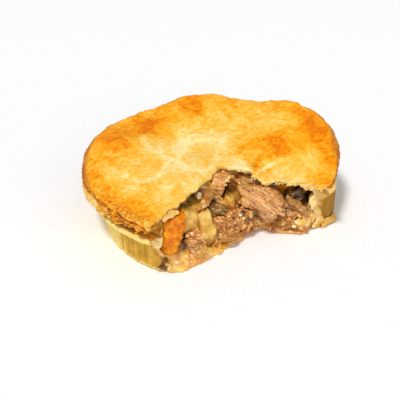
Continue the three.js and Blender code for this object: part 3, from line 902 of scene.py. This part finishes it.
# Colours of the gravy, of its coat on the chunks and of their darker lower parts, of the painted shade in
# the gaps, and of pale bits of onion.
GRAVY_LOOK = [(0.1, (184, 106, 22)), (0.42, (244, 170, 46)), (0.7, (254, 202, 80)), (1.0, (255, 232, 142))]
COATED = srgb(222, 156, 64)
DARK_BOTTOM_COLOUR = srgb(150, 88, 22)
GAP_SHADE_COLOUR = srgb(44, 22, 8)
PALE_LOOK = [(0.1, (214, 160, 80)), (0.45, (236, 190, 108)), (0.75, (248, 216, 148)), (1.0, (255, 240, 200))]


def stew_kind(name):
    return name.split("_")[0]


def nearness(points, places):
    """How near each point is to each place, from 0 to 1, by the spread of the place."""
    places = np.array(places)
    gone = np.sum((points[None] - places[:, None, :3]) ** 2, axis=2)
    return np.exp(-gone / (2.0 * places[:, 3, None] ** 2))


def in_gap(place):
    return np.max(nearness(place[None], GAPS)) > GAP_START


def open_gaps(relief):
    """Sinks the surface at the gaps, and returns how much painted shade each point gets there and at the
    shaded places.
    """
    shares = nearness(relief.points, GAPS)
    shade = np.array(SHADED)[:, 4, None] * nearness(relief.points, SHADED)
    depths = np.array(GAPS)[:, 4, None]
    relief.points += np.max(depths * shares, axis=0)[:, None] * INTO_PIE
    return np.max(np.concatenate([shares, shade]), axis=0)


def make_gravy():
    parts = [node_mesh("filling")] + [node_mesh(name, CHUNK_CORE) for name in CHUNKS]
    gravy = fine_copy("gravy", parts, GRAVY_VOXEL)
    gravy.relax(5)
    points = gravy.points.copy()
    gap = open_gaps(gravy)
    lumps = billows(points, 31, 5.0, 3)
    gravy.push(0.3 + 1.1 * lumps + 0.25 * grain(points, 32, (2.4, 2.4, 1.2)))
    gravy.relax(1)
    foot = fade(0.0, FOOT_RISE, gravy.points[:, 2])
    gravy.points[:, :2] += FOOT_SPREAD * foot[:, None] * gravy.normals()[:, :2]
    gravy.push(0.45 * foot * grain(points, 33, (1.6, 1.6, 3.2)))
    gravy.write()
    gravy.paint(hollow=gravy.hollows(5), mix=lumps, gap=gap, meaty=rise(2.0, 12.0, points[:, 0]))
    gravy.paint_film(3)
    thin_out(gravy.obj, GRAVY_TRIANGLES)
    finish_piece(gravy.obj, gravy_material(), "gravy", "filling")
    return gravy.obj


def gravy_material():
    shader = Shader("gravy")
    speckle = shader.about(shader.noise(1.7, 4.0))
    patches = shader.about(shader.noise(6.0))
    tone = shader.sum(0.5, (speckle, 0.9), (patches, 0.9), ("mix", 0.35))
    colour = shader.tint(shader.ramp(tone, GRAVY_LOOK), "meaty", 0.8, (228, 160, 84))
    # Painted shade in the hollows of the gravy.
    colour = shader.tint(colour, "hollow", 0.8, (96, 52, 20), 0.1, 0.7)
    # Painted shade, near black, in the gaps and at the shaded places.
    shader.set(Base_Color=shader.mix("gap", colour, GAP_SHADE_COLOUR))
    shader.wet(0.8, 0.42)
    shader.bump(shader.noise(0.9, 3.0), 0.3)
    return shader.material


def main_axes(points):
    """The middle of a lump, and the directions that it is shortest to longest in."""
    middle = points.mean(axis=0)
    away = points - middle
    return middle, np.linalg.eigh(away.T @ away)[1]


def fibres_along(points, seed, along, across, octaves=2):
    """Noise that runs in fibres along a lump."""
    axis = main_axes(points)[1][:, -1]
    run = points @ axis
    side = points - run[:, None] * axis
    return grain(side / across + (run / along)[:, None] * axis, seed, 1.0, octaves)


def beef_relief(points, seed):
    """Fine fibres, parted here and there by deep splits along them."""
    fibres = fibres_along(drift(points, seed + 2, 5.0, 0.8), seed, 12.0, 0.9)
    split = np.abs(fibres_along(drift(points, seed + 3, 6.0, 1.0), seed + 1, 24.0, 2.6, 1))
    parted = rise(-0.25, 0.15, grain(points, seed + 4, 6.0, 1))
    return 0.4 * fibres - 0.9 * parted * fade(0.0, 0.18, split), fibres


def potato_relief(points, seed):
    """A soft surface that crumbles a little."""
    soft = grain(points, seed, 4.5)
    return 0.3 * soft + 0.12 * grain(points, seed + 1, 1.3), soft


def carrot_relief(points, seed):
    """A rough cut face with shallow dents."""
    dents = grain(points, seed, 2.6, 3)
    return 0.5 * dents, dents


def mushroom_relief(points, seed):
    """Gills along a slice."""
    gills = fibres_along(points, seed, 6.0, 1.2)
    return 0.5 * gills, gills


class Kind(NamedTuple):
    """A kind of food in the stew: its shape, its relief, how gravy lies on it, and its colours.

    squared is the share of its reach that is left when it is cut to a block, facets how many slices are
    cut off it, and uneven and swell are in millimetres. The dark colour is that of the painted shade in its
    hollows.
    """

    squared: float
    facets: int
    uneven: float
    swell: float
    relief: object
    coat: float
    wetness: float
    stain: float
    hollow_shade: tuple
    look: list


KINDS = {
    "beef": Kind(
        0.88, 6, 1.7, 0.35, beef_relief, 0.4, 0.7, 0.25, (90, 42, 10),
        [(0.1, (178, 104, 42)), (0.45, (230, 158, 82)), (0.75, (248, 190, 112)), (1.0, (255, 228, 170))],
    ),
    "potato": Kind(
        0.74, 2, 0.6, 0.2, potato_relief, 0.3, 0.35, 0.75, (150, 92, 22),
        [(0.1, (204, 144, 48)), (0.45, (226, 172, 70)), (0.75, (240, 200, 100)), (1.0, (252, 228, 150))],
    ),
    "carrot": Kind(
        1.0, 0, 0.7, 0.35, carrot_relief, 0.0, 0.1, 0.3, (160, 64, 0),
        [(0.1, (200, 90, 0)), (0.45, (226, 124, 0)), (0.75, (240, 150, 4)), (1.0, (252, 186, 40))],
    ),
    "mushroom": Kind(
        1.0, 3, 1.5, 0.35, mushroom_relief, 0.4, 0.5, 0.2, (34, 16, 4),
        [(0.1, (44, 22, 4)), (0.45, (138, 92, 40)), (0.7, (190, 140, 74)), (1.0, (236, 192, 130))],
    ),
    "onion": Kind(
        1.0, 0, 0.8, 0.35, beef_relief, 0.5, 0.6, 0.5, (100, 58, 20),
        [(0.1, (140, 88, 36)), (0.45, (190, 136, 72)), (0.75, (222, 174, 108)), (1.0, (246, 210, 152))],
    ),
}


def square_off(chunk, share):
    """Flattens a lump on six sides, as if it were cut to a block."""
    middle, axes = main_axes(chunk.points)
    along = (chunk.points - middle) @ axes
    limit = share * np.abs(along).max(axis=0)
    chunk.points = middle + np.clip(along, -limit, limit) / math.sqrt(share) @ axes.T


def cut_facets(chunk, seed, count):
    """Takes flat slices off a lump from seeded sides."""
    draw = np.random.default_rng(seed)
    for facet in unit(draw.normal(size=(count, 3))):
        reach = chunk.points @ facet
        over = np.maximum(reach - np.quantile(reach, draw.uniform(0.88, 0.98)), 0.0)
        chunk.points -= np.outer(over, facet)


def cut_chunk(name, kind, seed):
    """A fine copy of a chunk's solid, cut and roughened as its kind, with its foot tucked in."""
    chunk = fine_copy(name + "_food", [node_mesh(name)], CHUNK_VOXEL)
    chunk.relax(8)
    square_off(chunk, kind.squared)
    cut_facets(chunk, seed + 6, kind.facets)
    chunk.points = drift(chunk.points, seed + 7, 5.0, kind.uneven)
    chunk.points = drift(chunk.points, seed + 8, 2.2, 0.35 * kind.uneven)
    chunk.relax(2)
    chunk.points += TUCK * fade(0.0, TUCK_RISE, chunk.points[:, 2])[:, None] * INTO_PIE
    return chunk


def make_chunk(name, material, seed):
    kind = KINDS[stew_kind(name)]
    chunk = cut_chunk(name, kind, seed)
    points = chunk.points.copy()
    gap = open_gaps(chunk)
    chunk.points[:, 2] = np.minimum(chunk.points[:, 2], TOPS.get(name, np.inf))
    amount, mix = kind.relief(points, seed)
    chunk.push(amount + kind.swell)
    chunk.write()
    height = (points[:, 2] - points[:, 2].min()) / np.ptp(points[:, 2])
    pale_chunk = name in PALE_CHUNKS
    chunk.paint(
        hollow=chunk.hollows(4), mix=mix + PALE_CHUNK_TONE * pale_chunk, gap=gap,
        coat=kind.coat * rise(0.1, 0.5, grain(points, seed + 5, 4.0)),
        # Darker towards the bottom of each chunk but the pale one.
        stain=kind.stain * (not pale_chunk) * fade(0.0, 0.6, height + 0.25 * mix),
    )
    chunk.paint_film(8)
    thin_out(chunk.obj, CHUNK_TRIANGLES)
    finish_piece(chunk.obj, material, stew_kind(name), name)
    return chunk.obj


def chunk_material(name, kind):
    shader = Shader(name)
    speckle = shader.about(shader.noise(1.2, 3.0))
    colour = shader.ramp(shader.sum(0.5, (speckle, 0.8), ("mix", 0.42)), kind.look)
    colour = shader.mix("coat", colour, COATED)
    # Darker towards the bottom of the chunk.
    colour = shader.mix("stain", colour, DARK_BOTTOM_COLOUR)
    # Painted shade in the hollows of the chunk.
    colour = shader.tint(colour, "hollow", 0.8, kind.hollow_shade, 0.05, 0.4)
    # Painted shade, near black, in the gaps and at the shaded places.
    shader.set(Base_Color=shader.mix("gap", colour, GAP_SHADE_COLOUR))
    shader.wet(kind.wetness)
    shader.bump(shader.noise(0.7, 3.0), 0.2)
    return shader.material


def make_chunks():
    materials = {name: chunk_material(name, kind) for name, kind in KINDS.items()}
    return [
        make_chunk(name, materials[stew_kind(name)], seed=100 + 10 * order)
        for order, name in enumerate(CHUNKS)
    ]


# Small bits

# Points around and along a strand, the least that it keeps, and a way that no strand runs along.
RING_SIDES = 7
STRAND_POINTS = 9
STRAND_LEAST = 6
ASKEW = (0.31, 0.42, 0.85)

# Slices off a lump, and points along and across a flake and a sheet.
LUMP_FACETS = 9
FLAKE_GRID = 6, 8
SHEET_GRID = 40, 12

# Corners of the boxes that bits of the stew are aimed at, the kinds of piece that shreds lie on, and
# the pieces that stay bare.
FACE = (-21.0, -34.0, 2.0), (46.0, -12.0, 24.0)
TOE = (-24.0, -48.0, 0.5), (12.0, -30.0, 4.0)
MEATY = ("gravy", "beef", "onion")
BARE = ("beef_slab_food", "beef_top_food")

# Heaps of shreds that stand out, and the way that they face. Then how many other places of shreds, gills
# and pale bits there are, and crumbs as a count, box, tone and spread of tones.
SHRED_HEAPS = [
    (-5.8, -17.0, 26.8), (-7.6, -20.4, 26.2), (-3.5, -16.6, 25.5), (-4.6, -19.0, 24.6),
    (8.0, -20.4, 12.8), (11.0, -20.8, 10.8), (14.0, -17.0, 12.2),
]
HEAP_NORMAL = unit(np.array([0.1, -0.8, 0.6]))
SHRED_PLACES = 80
GILL_PLACES = 22
PALE_PLACES = 14
CRUMBS = [(130, FACE, 0.45, 0.2), (24, TOE, 0.7, 0.15)]

# Pale bits that stand out in the stew: place, half size and tone.
PALE_BITS = [
    (-11.3, -22.4, 24.6, 2.4, 0.9), (-8.6, -19.8, 27.0, 2.0, 0.3), (3.0, -11.8, 28.0, 1.2, 0.5),
    (2.3, -14.2, 28.2, 1.3, 0.45), (1.2, -16.6, 27.2, 1.1, 0.4), (8.4, -20.4, 13.2, 1.3, 0.9),
    (9.8, -21.4, 11.9, 1.0, 0.8), (-16.2, -42.0, 15.6, 1.2, 0.7), (35.3, -17.4, 7.2, 1.3, 0.9),
    (-24.4, -46.8, 1.7, 2.3, 0.75), (-8.6, -26.4, 22.1, 2.0, 0.2), (-1.2, -22.8, 19.0, 1.8, 0.2),
    (6.8, -11.8, 14.4, 1.8, 0.3), (34.4, -17.4, 5.2, 1.2, 0.8), (13.5, -17.2, 9.6, 1.2, 0.5),
]

# Where the fringe of flakes at the lid's tear starts, the angles and heights of the flakes on its lip, and
# the angles, height and thickness of the pale layer under the lip. Then the thickness of other flakes.
FRINGE_START = 12.0
LIP_ANGLES = -150.0, -104.0
LIP_HEIGHTS = 19.0, 27.0
UNDERLIP_ANGLES = -186.0, -141.0
UNDERLIP_FOOT = 20.4
UNDERLIP_THICKNESS = 0.6
FLAKE_THICKNESS = 0.25, 0.4


class Flakes(NamedTuple):
    """Flakes of the lid: how many there are, and the ranges of their widths, lengths and tones."""

    count: int
    widths: tuple
    lengths: tuple
    tones: tuple


FRINGE = Flakes(26, (3.0, 8.0), (0.8, 1.8), (-0.1, 0.3))
LIP = Flakes(46, (2.0, 6.0), (0.6, 1.6), (0.35, 0.9))
UNDERLIP = Flakes(22, (6.0, 9.0), (1.4, 2.6), (-0.1, 0.2))

# How far off the rays start that look for the lid and the stew.
LID_VIEW = 90.0
STEW_VIEW = 70.0

# Torn pastry about the cut, as flakes: root, way out, way across, width, length and tone.
TATTER_THICKNESS = 0.5
TATTERS = [
    ((42.4, -13.6, 24.8), (0.0, -0.2, -0.95), (0.95, 0.28, 0.0), 4.5, 2.6, 0.3),
    ((45.8, -12.7, 24.8), (0.1, -0.2, -0.95), (0.95, 0.3, 0.0), 5.5, 3.6, 0.45),
    ((49.6, -11.4, 24.6), (0.2, -0.2, -0.95), (0.9, 0.45, 0.0), 5.0, 4.4, 0.3),
    ((51.4, -10.4, 23.8), (0.2, -0.1, -0.9), (0.7, 0.7, 0.0), 3.6, 3.4, 0.4),
    ((-31.4, -52.4, 18.8), (0.9, 0.3, -0.3), (-0.1, 0.6, -0.8), 3.0, 3.2, 0.22),
    ((-31.0, -51.8, 17.4), (0.9, 0.3, -0.35), (-0.1, 0.6, -0.8), 3.0, 3.6, 0.12),
    ((-30.8, -51.2, 16.2), (0.9, 0.2, -0.4), (-0.1, 0.6, -0.8), 3.0, 3.0, 0.26),
]

# The same as sheets: two edges from the top down, thickness, crumple and a tone at each edge. They are
# the wall's right end, its foot at the right, and the layer over the left carrot under the lid's edge.
# The tones of the wall's right end, pale at its left edge and dark at its right, are painted light and
# shade.
SHEETS = [
    ([(43.4, -12.2, 24.2), (41.6, -13.4, 18.0), (41.8, -13.7, 14.2), (44.2, -12.7, 10.1),
      (45.5, -12.1, 6.4), (44.2, -12.7, 3.3), (43.0, -13.2, 0.8)],
     [(52.6, -7.8, 23.2), (50.3, -9.6, 16.6), (46.9, -11.6, 14.0), (46.9, -11.6, 11.7),
      (49.2, -10.5, 7.7), (49.3, -10.5, 3.6), (48.1, -11.0, 0.8)], 0.9, 1.6, (0.04, 0.6)),
    ([(48.8, -9.2, 3.6), (52.2, -6.4, 3.4), (55.4, -2.0, 3.0)],
     [(48.2, -11.2, 0.5), (53.0, -8.0, 0.5), (56.6, -3.6, 0.5)], 0.6, 0.5, (0.5, 0.5)),
    ([(-27.6, -44.0, 27.2), (-25.4, -40.6, 28.4), (-22.4, -37.6, 28.8)],
     [(-26.0, -47.0, 25.8), (-22.8, -44.6, 26.0), (-18.8, -41.6, 26.4)], 0.5, 0.8, (0.7, 0.25)),
]
TATTER_LOOK = [
    (0.0, (254, 224, 158)), (0.25, (238, 200, 122)), (0.5, (222, 172, 84)),
    (0.75, (246, 166, 40)), (1.0, (226, 120, 10)),
]


class Bits:
    """Small things of one kind, gathered into one mesh with a tone for each."""

    def __init__(self, seed):
        self.draw = np.random.default_rng(seed)
        self.parts = []
        self.tones = []

    def add(self, shape, tone):
        self.parts.append(shape)
        self.tones.append(np.full(len(shape[0]), tone))

    def finish(self, name, material, slot):
        piece = Relief(mesh_object(name, *joined(self.parts)))
        piece.paint(tone=np.concatenate(self.tones))
        piece.paint_film(1)
        finish_piece(piece.obj, material, slot)


class Surface:
    """The outside of several pieces, for seating small things on it."""

    def __init__(self, pieces):
        bpy.context.view_layer.update()
        depsgraph = bpy.context.evaluated_depsgraph_get()
        self.trees = {piece.name: BVHTree.FromObject(piece, depsgraph) for piece in pieces}

    def hit(self, start, ahead):
        """The first place that a ray meets, the normal there and the piece's name, or None."""
        found = None
        for name, tree in self.trees.items():
            place, normal, _, distance = tree.ray_cast(Vector(start) * MM, Vector(ahead))
            if place is not None and (found is None or distance < found[0]):
                found = distance, np.array(place) / MM, np.array(normal), name
        return found and found[1:]

    def stew_hit(self, start, ahead, kinds):
        """The place that a ray meets and the normal there, on a piece of some kinds, or None."""
        found = self.hit(start, ahead)
        if found is None or stew_kind(found[2]) not in kinds or found[2] in BARE:
            return None
        return found[:2]

    def drop(self, place, normal, kinds, reach=2.2):
        """The place under a point that is near it, on a piece of some kinds and in no gap, or None."""
        found = self.stew_hit(place + reach * normal, -normal, kinds)
        if found is None or np.linalg.norm(found[0] - place) >= reach or in_gap(found[0]):
            return None
        return found[0]

    def lid_hit(self, degrees, height):
        """The way out from the lid's middle at an angle, and what a ray meets that comes in along it."""
        angle = math.radians(degrees)
        away = np.array([math.cos(angle), math.sin(angle), 0.0])
        return away, self.hit(np.array([*LID_MIDDLE, height]) + LID_VIEW * away, -away)


def ball_shape():
    ball = bmesh.new()
    bmesh.ops.create_icosphere(ball, subdivisions=3, radius=1.0)
    points = np.array([vertex.co[:] for vertex in ball.verts])
    faces = [tuple(vertex.index for vertex in face.verts) for face in ball.faces]
    ball.free()
    return points, faces


BALL = ball_shape()


def lump(draw, place, size):
    """A small broken lump about a place."""
    points, faces = BALL
    for facet in unit(draw.normal(size=(LUMP_FACETS, 3))):
        over = np.maximum(points @ facet - draw.uniform(0.4, 0.8), 0.0)
        points = points - np.outer(over, facet)
    turn = np.linalg.qr(draw.normal(size=(3, 3)))[0]
    turn *= np.linalg.det(turn)
    return place + (points * size) @ turn, faces


def face_list(*corners):
    """Faces of four corners, from arrays of point numbers for each corner."""
    return [tuple(face) for face in np.stack(corners, axis=-1).reshape(-1, 4).tolist()]


def strand(path, thickness):
    """A thread along a path, thinner at its ends."""
    ahead = unit(np.gradient(path, axis=0))
    side = unit(np.cross(ahead, ASKEW))
    over = np.cross(side, ahead)
    share = np.linspace(-1.0, 1.0, len(path))
    swell = 0.5 * thickness * np.sqrt(np.maximum(1.0 - share ** 4, 0.03))
    turn = FULL_TURN * np.arange(RING_SIDES)[None, :, None] / RING_SIDES
    rings = np.cos(turn) * side[:, None] + np.sin(turn) * over[:, None]
    points = path[:, None] + swell[:, None, None] * rings
    corner = np.arange(len(path) * RING_SIDES).reshape(len(path), RING_SIDES)
    following = np.roll(corner, -1, axis=1)
    ends = [tuple(corner[0][::-1].tolist()), tuple(corner[-1].tolist())]
    return points.reshape(-1, 3), face_list(corner[:-1], following[:-1], following[1:], corner[1:]) + ends


def thicken(grid, thickness):
    """A thin sheet under a grid of points."""
    normal = unit(np.cross(np.gradient(grid, axis=0), np.gradient(grid, axis=1)))
    points = np.concatenate([grid, grid - thickness * normal]).reshape(-1, 3)
    below = len(points) // 2
    corner = np.arange(below).reshape(grid.shape[:2])
    quad = corner[:-1, :-1], corner[1:, :-1], corner[1:, 1:], corner[:-1, 1:]
    border = np.concatenate([corner[0, :-1], corner[:-1, -1], corner[-1, :0:-1], corner[:0:-1, 0]])
    following = np.roll(border, -1)
    under = face_list(*(numbers + below for numbers in quad[::-1]))
    return points, face_list(*quad) + under + face_list(border, following, following + below, border + below)


def flake(draw, root, out, across, size):
    """A ragged flake that starts at a root and goes out, of a width and length, curling a little."""
    width, length = size
    rows, row = FLAKE_GRID
    u = np.linspace(-1.0, 1.0, row)
    v = np.linspace(0.0, 1.0, rows)
    ragged = np.convolve(draw.uniform(0.3, 1.2, row + 2), (0.25, 0.5, 0.25), "valid")
    rough = draw.normal(scale=0.03, size=(rows, row)) + draw.normal(scale=0.25) * v[:, None] ** 2
    reach = v[:, None] * ragged * (1.0 - 0.7 * u ** 2)
    grid = root + 0.5 * width * u[None, :, None] * across + length * reach[:, :, None] * out
    return grid + length * rough[:, :, None] * np.cross(across, out)


def sheet(left, right, crumple, seed):
    """A crumpled sheet of dough between two edges, each given as places from its top down."""
    rows, row = SHEET_GRID
    edges = []
    for edge in (np.array(left), np.array(right)):
        at = np.linspace(0.0, len(edge) - 1.0, rows)
        edges.append(columns(*(np.interp(at, np.arange(len(edge)), axis) for axis in edge.T))[:, None])
    grid = edges[0] + np.linspace(0.0, 1.0, row)[None, :, None] * (edges[1] - edges[0])
    crumpled = drift(drift(grid.reshape(-1, 3), seed, 4.0, crumple), seed + 1, 1.7, 0.35 * crumple)
    return crumpled.reshape(grid.shape)


def stew_places(surface, draw, count, kinds, box):
    """Seeded places about the open face of the stew, on pieces of some kinds, with their normals."""
    found = []
    while len(found) < count:
        aim = draw.uniform(*box)
        turn = draw.uniform(-0.9, 0.35)
        ahead = unit(np.array([math.sin(turn), math.cos(turn), -0.35]))
        hit = surface.stew_hit(aim - STEW_VIEW * ahead, ahead, kinds)
        if hit and hit[0][2] > 0.8 and hit[0][0] > box[0][0] and not in_gap(hit[0]):
            found.append(hit)
    return found


def add_shreds(bits, surface, place, normal, kinds, count, size, tone=0.45):
    """A few strands side by side, lying on the surface."""
    draw = bits.draw
    lean = math.radians(draw.normal(-30.0, 35.0))
    ahead = np.array([math.cos(lean), 0.2, math.sin(lean)])
    ahead = unit(ahead - (ahead @ normal) * normal)
    across = np.cross(normal, ahead)
    run = np.linspace(-0.5, 0.5, STRAND_POINTS)
    for _ in range(count):
        length = size * draw.uniform(0.6, 1.2)
        thickness = draw.uniform(0.7, 1.5)
        bow = draw.normal(scale=0.12)
        middle = place + across * draw.uniform(-0.5, 0.5) * count + ahead * draw.normal(scale=1.0)
        line = [middle + length * (t * ahead + bow * (t * t - 0.1) * across) for t in run]
        seated = [surface.drop(point, normal, kinds) for point in line]
        path = np.array([point for point in seated if point is not None])
        if len(path) >= STRAND_LEAST:
            path[1:-1] = (path[:-2] + 2.0 * path[1:-1] + path[2:]) / 4.0
            bits.add(strand(path + 0.1 * thickness * normal, thickness), draw.normal(tone, 0.14))


def make_shreds(surface):
    bits = Bits(seed=51)
    draw = bits.draw
    for place in SHRED_HEAPS:
        add_shreds(bits, surface, np.array(place), HEAP_NORMAL, MEATY, count=9, size=7.0)
    for place, normal in stew_places(surface, draw, SHRED_PLACES, MEATY, FACE):
        add_shreds(bits, surface, place, normal, MEATY, draw.integers(2, 6), draw.uniform(3.5, 7.5))
    for count, box, tone, spread in CRUMBS:
        for place, normal in stew_places(surface, draw, count, ("gravy", "beef"), box):
            size = draw.uniform(0.4, 1.4) * draw.uniform(0.6, 1.3, 3)
            bits.add(lump(draw, place + 0.1 * normal, size), draw.normal(tone, spread))
    bits.finish("beef_shreds", bit_material("shreds", KINDS["beef"].look), "beef")


def make_gills(surface):
    bits = Bits(seed=55)
    for place, normal in stew_places(surface, bits.draw, GILL_PLACES, ("mushroom",), FACE):
        add_shreds(bits, surface, place, normal, ("mushroom",), count=2, size=5.0, tone=0.75)
    bits.finish("mushroom_shreds", bit_material("mushroom_shreds", KINDS["mushroom"].look), "mushroom")


def make_pale_bits(surface):
    bits = Bits(seed=61)
    draw = bits.draw
    for x, y, z, size, tone in PALE_BITS:
        bits.add(lump(draw, np.array([x, y, z]), size * draw.uniform(0.75, 1.1, 3)), tone)
    for place, normal in stew_places(surface, draw, PALE_PLACES, ("gravy",), FACE):
        size = draw.uniform(0.6, 1.5) * draw.uniform(0.6, 1.4, 3)
        bits.add(lump(draw, place + 0.1 * normal, size), draw.uniform(0.0, 0.6))
    bits.finish("onion_bits", bit_material("onion_bits", PALE_LOOK), "onion")


def bit_material(name, look):
    shader = Shader(name)
    tone = shader.sum("tone", (shader.about(shader.noise(1.0)), 0.5))
    shader.set(Base_Color=shader.ramp(tone, look))
    shader.wet(0.6)
    shader.bump(shader.noise(0.5, 3.0), 0.15)
    return shader.material


def add_flake(bits, flakes, root, out, across, thickness=None):
    """One flake of the lid, as thick as is given or as is drawn."""
    draw = bits.draw
    size = draw.uniform(*flakes.widths), draw.uniform(*flakes.lengths)
    grid = flake(draw, root, out, across, size)
    if thickness is None:
        thickness = draw.uniform(*FLAKE_THICKNESS)
    bits.add(thicken(grid, thickness), draw.uniform(*flakes.tones))


def add_fringe(bits, tear_edge):
    """Flakes that hang from the torn edge of the lid."""
    draw = bits.draw
    points, outward = tear_edge
    on_right = np.flatnonzero(points[:, 0] > FRINGE_START)
    for number in draw.choice(on_right, FRINGE.count, replace=False):
        away = outward[number]
        out = unit(away * draw.uniform(0.2, 0.9) - np.array([0.0, 0.0, draw.uniform(0.3, 1.0)]))
        across = unit(np.cross(out, away + (0.0, 0.0, 0.4)))
        add_flake(bits, FRINGE, points[number] - 0.6 * away, out, across)


def add_lip_flakes(bits, surface):
    """Crisp flakes around the front left of the lip."""
    draw = bits.draw
    for _ in range(LIP.count):
        _, hit = surface.lid_hit(draw.uniform(*LIP_ANGLES), draw.uniform(*LIP_HEIGHTS))
        if hit is None or hit[2] != "lid_crust":
            continue
        place, normal, _ = hit
        across = unit(np.cross(normal, (0.0, 0.0, 1.0)))
        down = unit(np.cross(normal, across))
        out = unit(-np.sign(down[2]) * down + draw.uniform(0.0, 0.5) * normal)
        add_flake(bits, LIP, place - 0.2 * normal, out, across)


def add_under_lip(bits, surface):
    """The pale layer that shows under the lip at the far left."""
    for degrees in np.linspace(*UNDERLIP_ANGLES, UNDERLIP.count):
        away, hit = surface.lid_hit(degrees, UNDERLIP_FOOT)
        across = np.array([-away[1], away[0], 0.0])
        out = unit(away - np.array([0.0, 0.0, bits.draw.uniform(0.5, 1.0)]))
        add_flake(bits, UNDERLIP, hit[0] - 0.8 * away, out, across, UNDERLIP_THICKNESS)


def make_lid_flakes(surface, tear_edge):
    bits = Bits(seed=71)
    add_fringe(bits, tear_edge)
    add_lip_flakes(bits, surface)
    add_under_lip(bits, surface)
    bits.finish("lid_flakes", flake_material("lid_flakes", GOLDEN), "lid_crust")


def make_tatters():
    bits = Bits(seed=81)
    for root, out, across, width, length, tone in TATTERS:
        grid = flake(bits.draw, np.array(root), unit(np.array(out)), unit(np.array(across)), (width, length))
        bits.add(thicken(grid, TATTER_THICKNESS), tone)
    for order, (left, right, thickness, crumple, tones) in enumerate(SHEETS):
        grid = sheet(left, right, crumple, seed=400 + 10 * order)
        # Tones across each sheet; on the wall's right end they are painted light and shade.
        across = np.linspace(*tones, grid.shape[1])
        bits.add(thicken(grid, thickness), np.tile(across, 2 * len(grid)))
    bits.finish("crust_tatters", flake_material("crust_tatters", TATTER_LOOK), "case_crust")


def flake_material(name, look):
    shader = Shader(name)
    tone = shader.sum("tone", (shader.about(shader.noise(1.3, 3.0)), 0.7))
    shader.set(Base_Color=shader.ramp(tone, look), Roughness=0.5, Specular_IOR_Level=0.15)
    shader.bump(shader.noise(0.6, 3.0), 0.1)
    return shader.material


add_stage()
lid, tear_edge = make_lid()
case = make_case()
stew = [make_gravy()] + make_chunks()
outside = Surface([lid, case] + stew)
make_shreds(outside)
make_gills(outside)
make_pale_bits(outside)
make_lid_flakes(outside, tear_edge)
make_tatters()

bpy.context.view_layer.update()
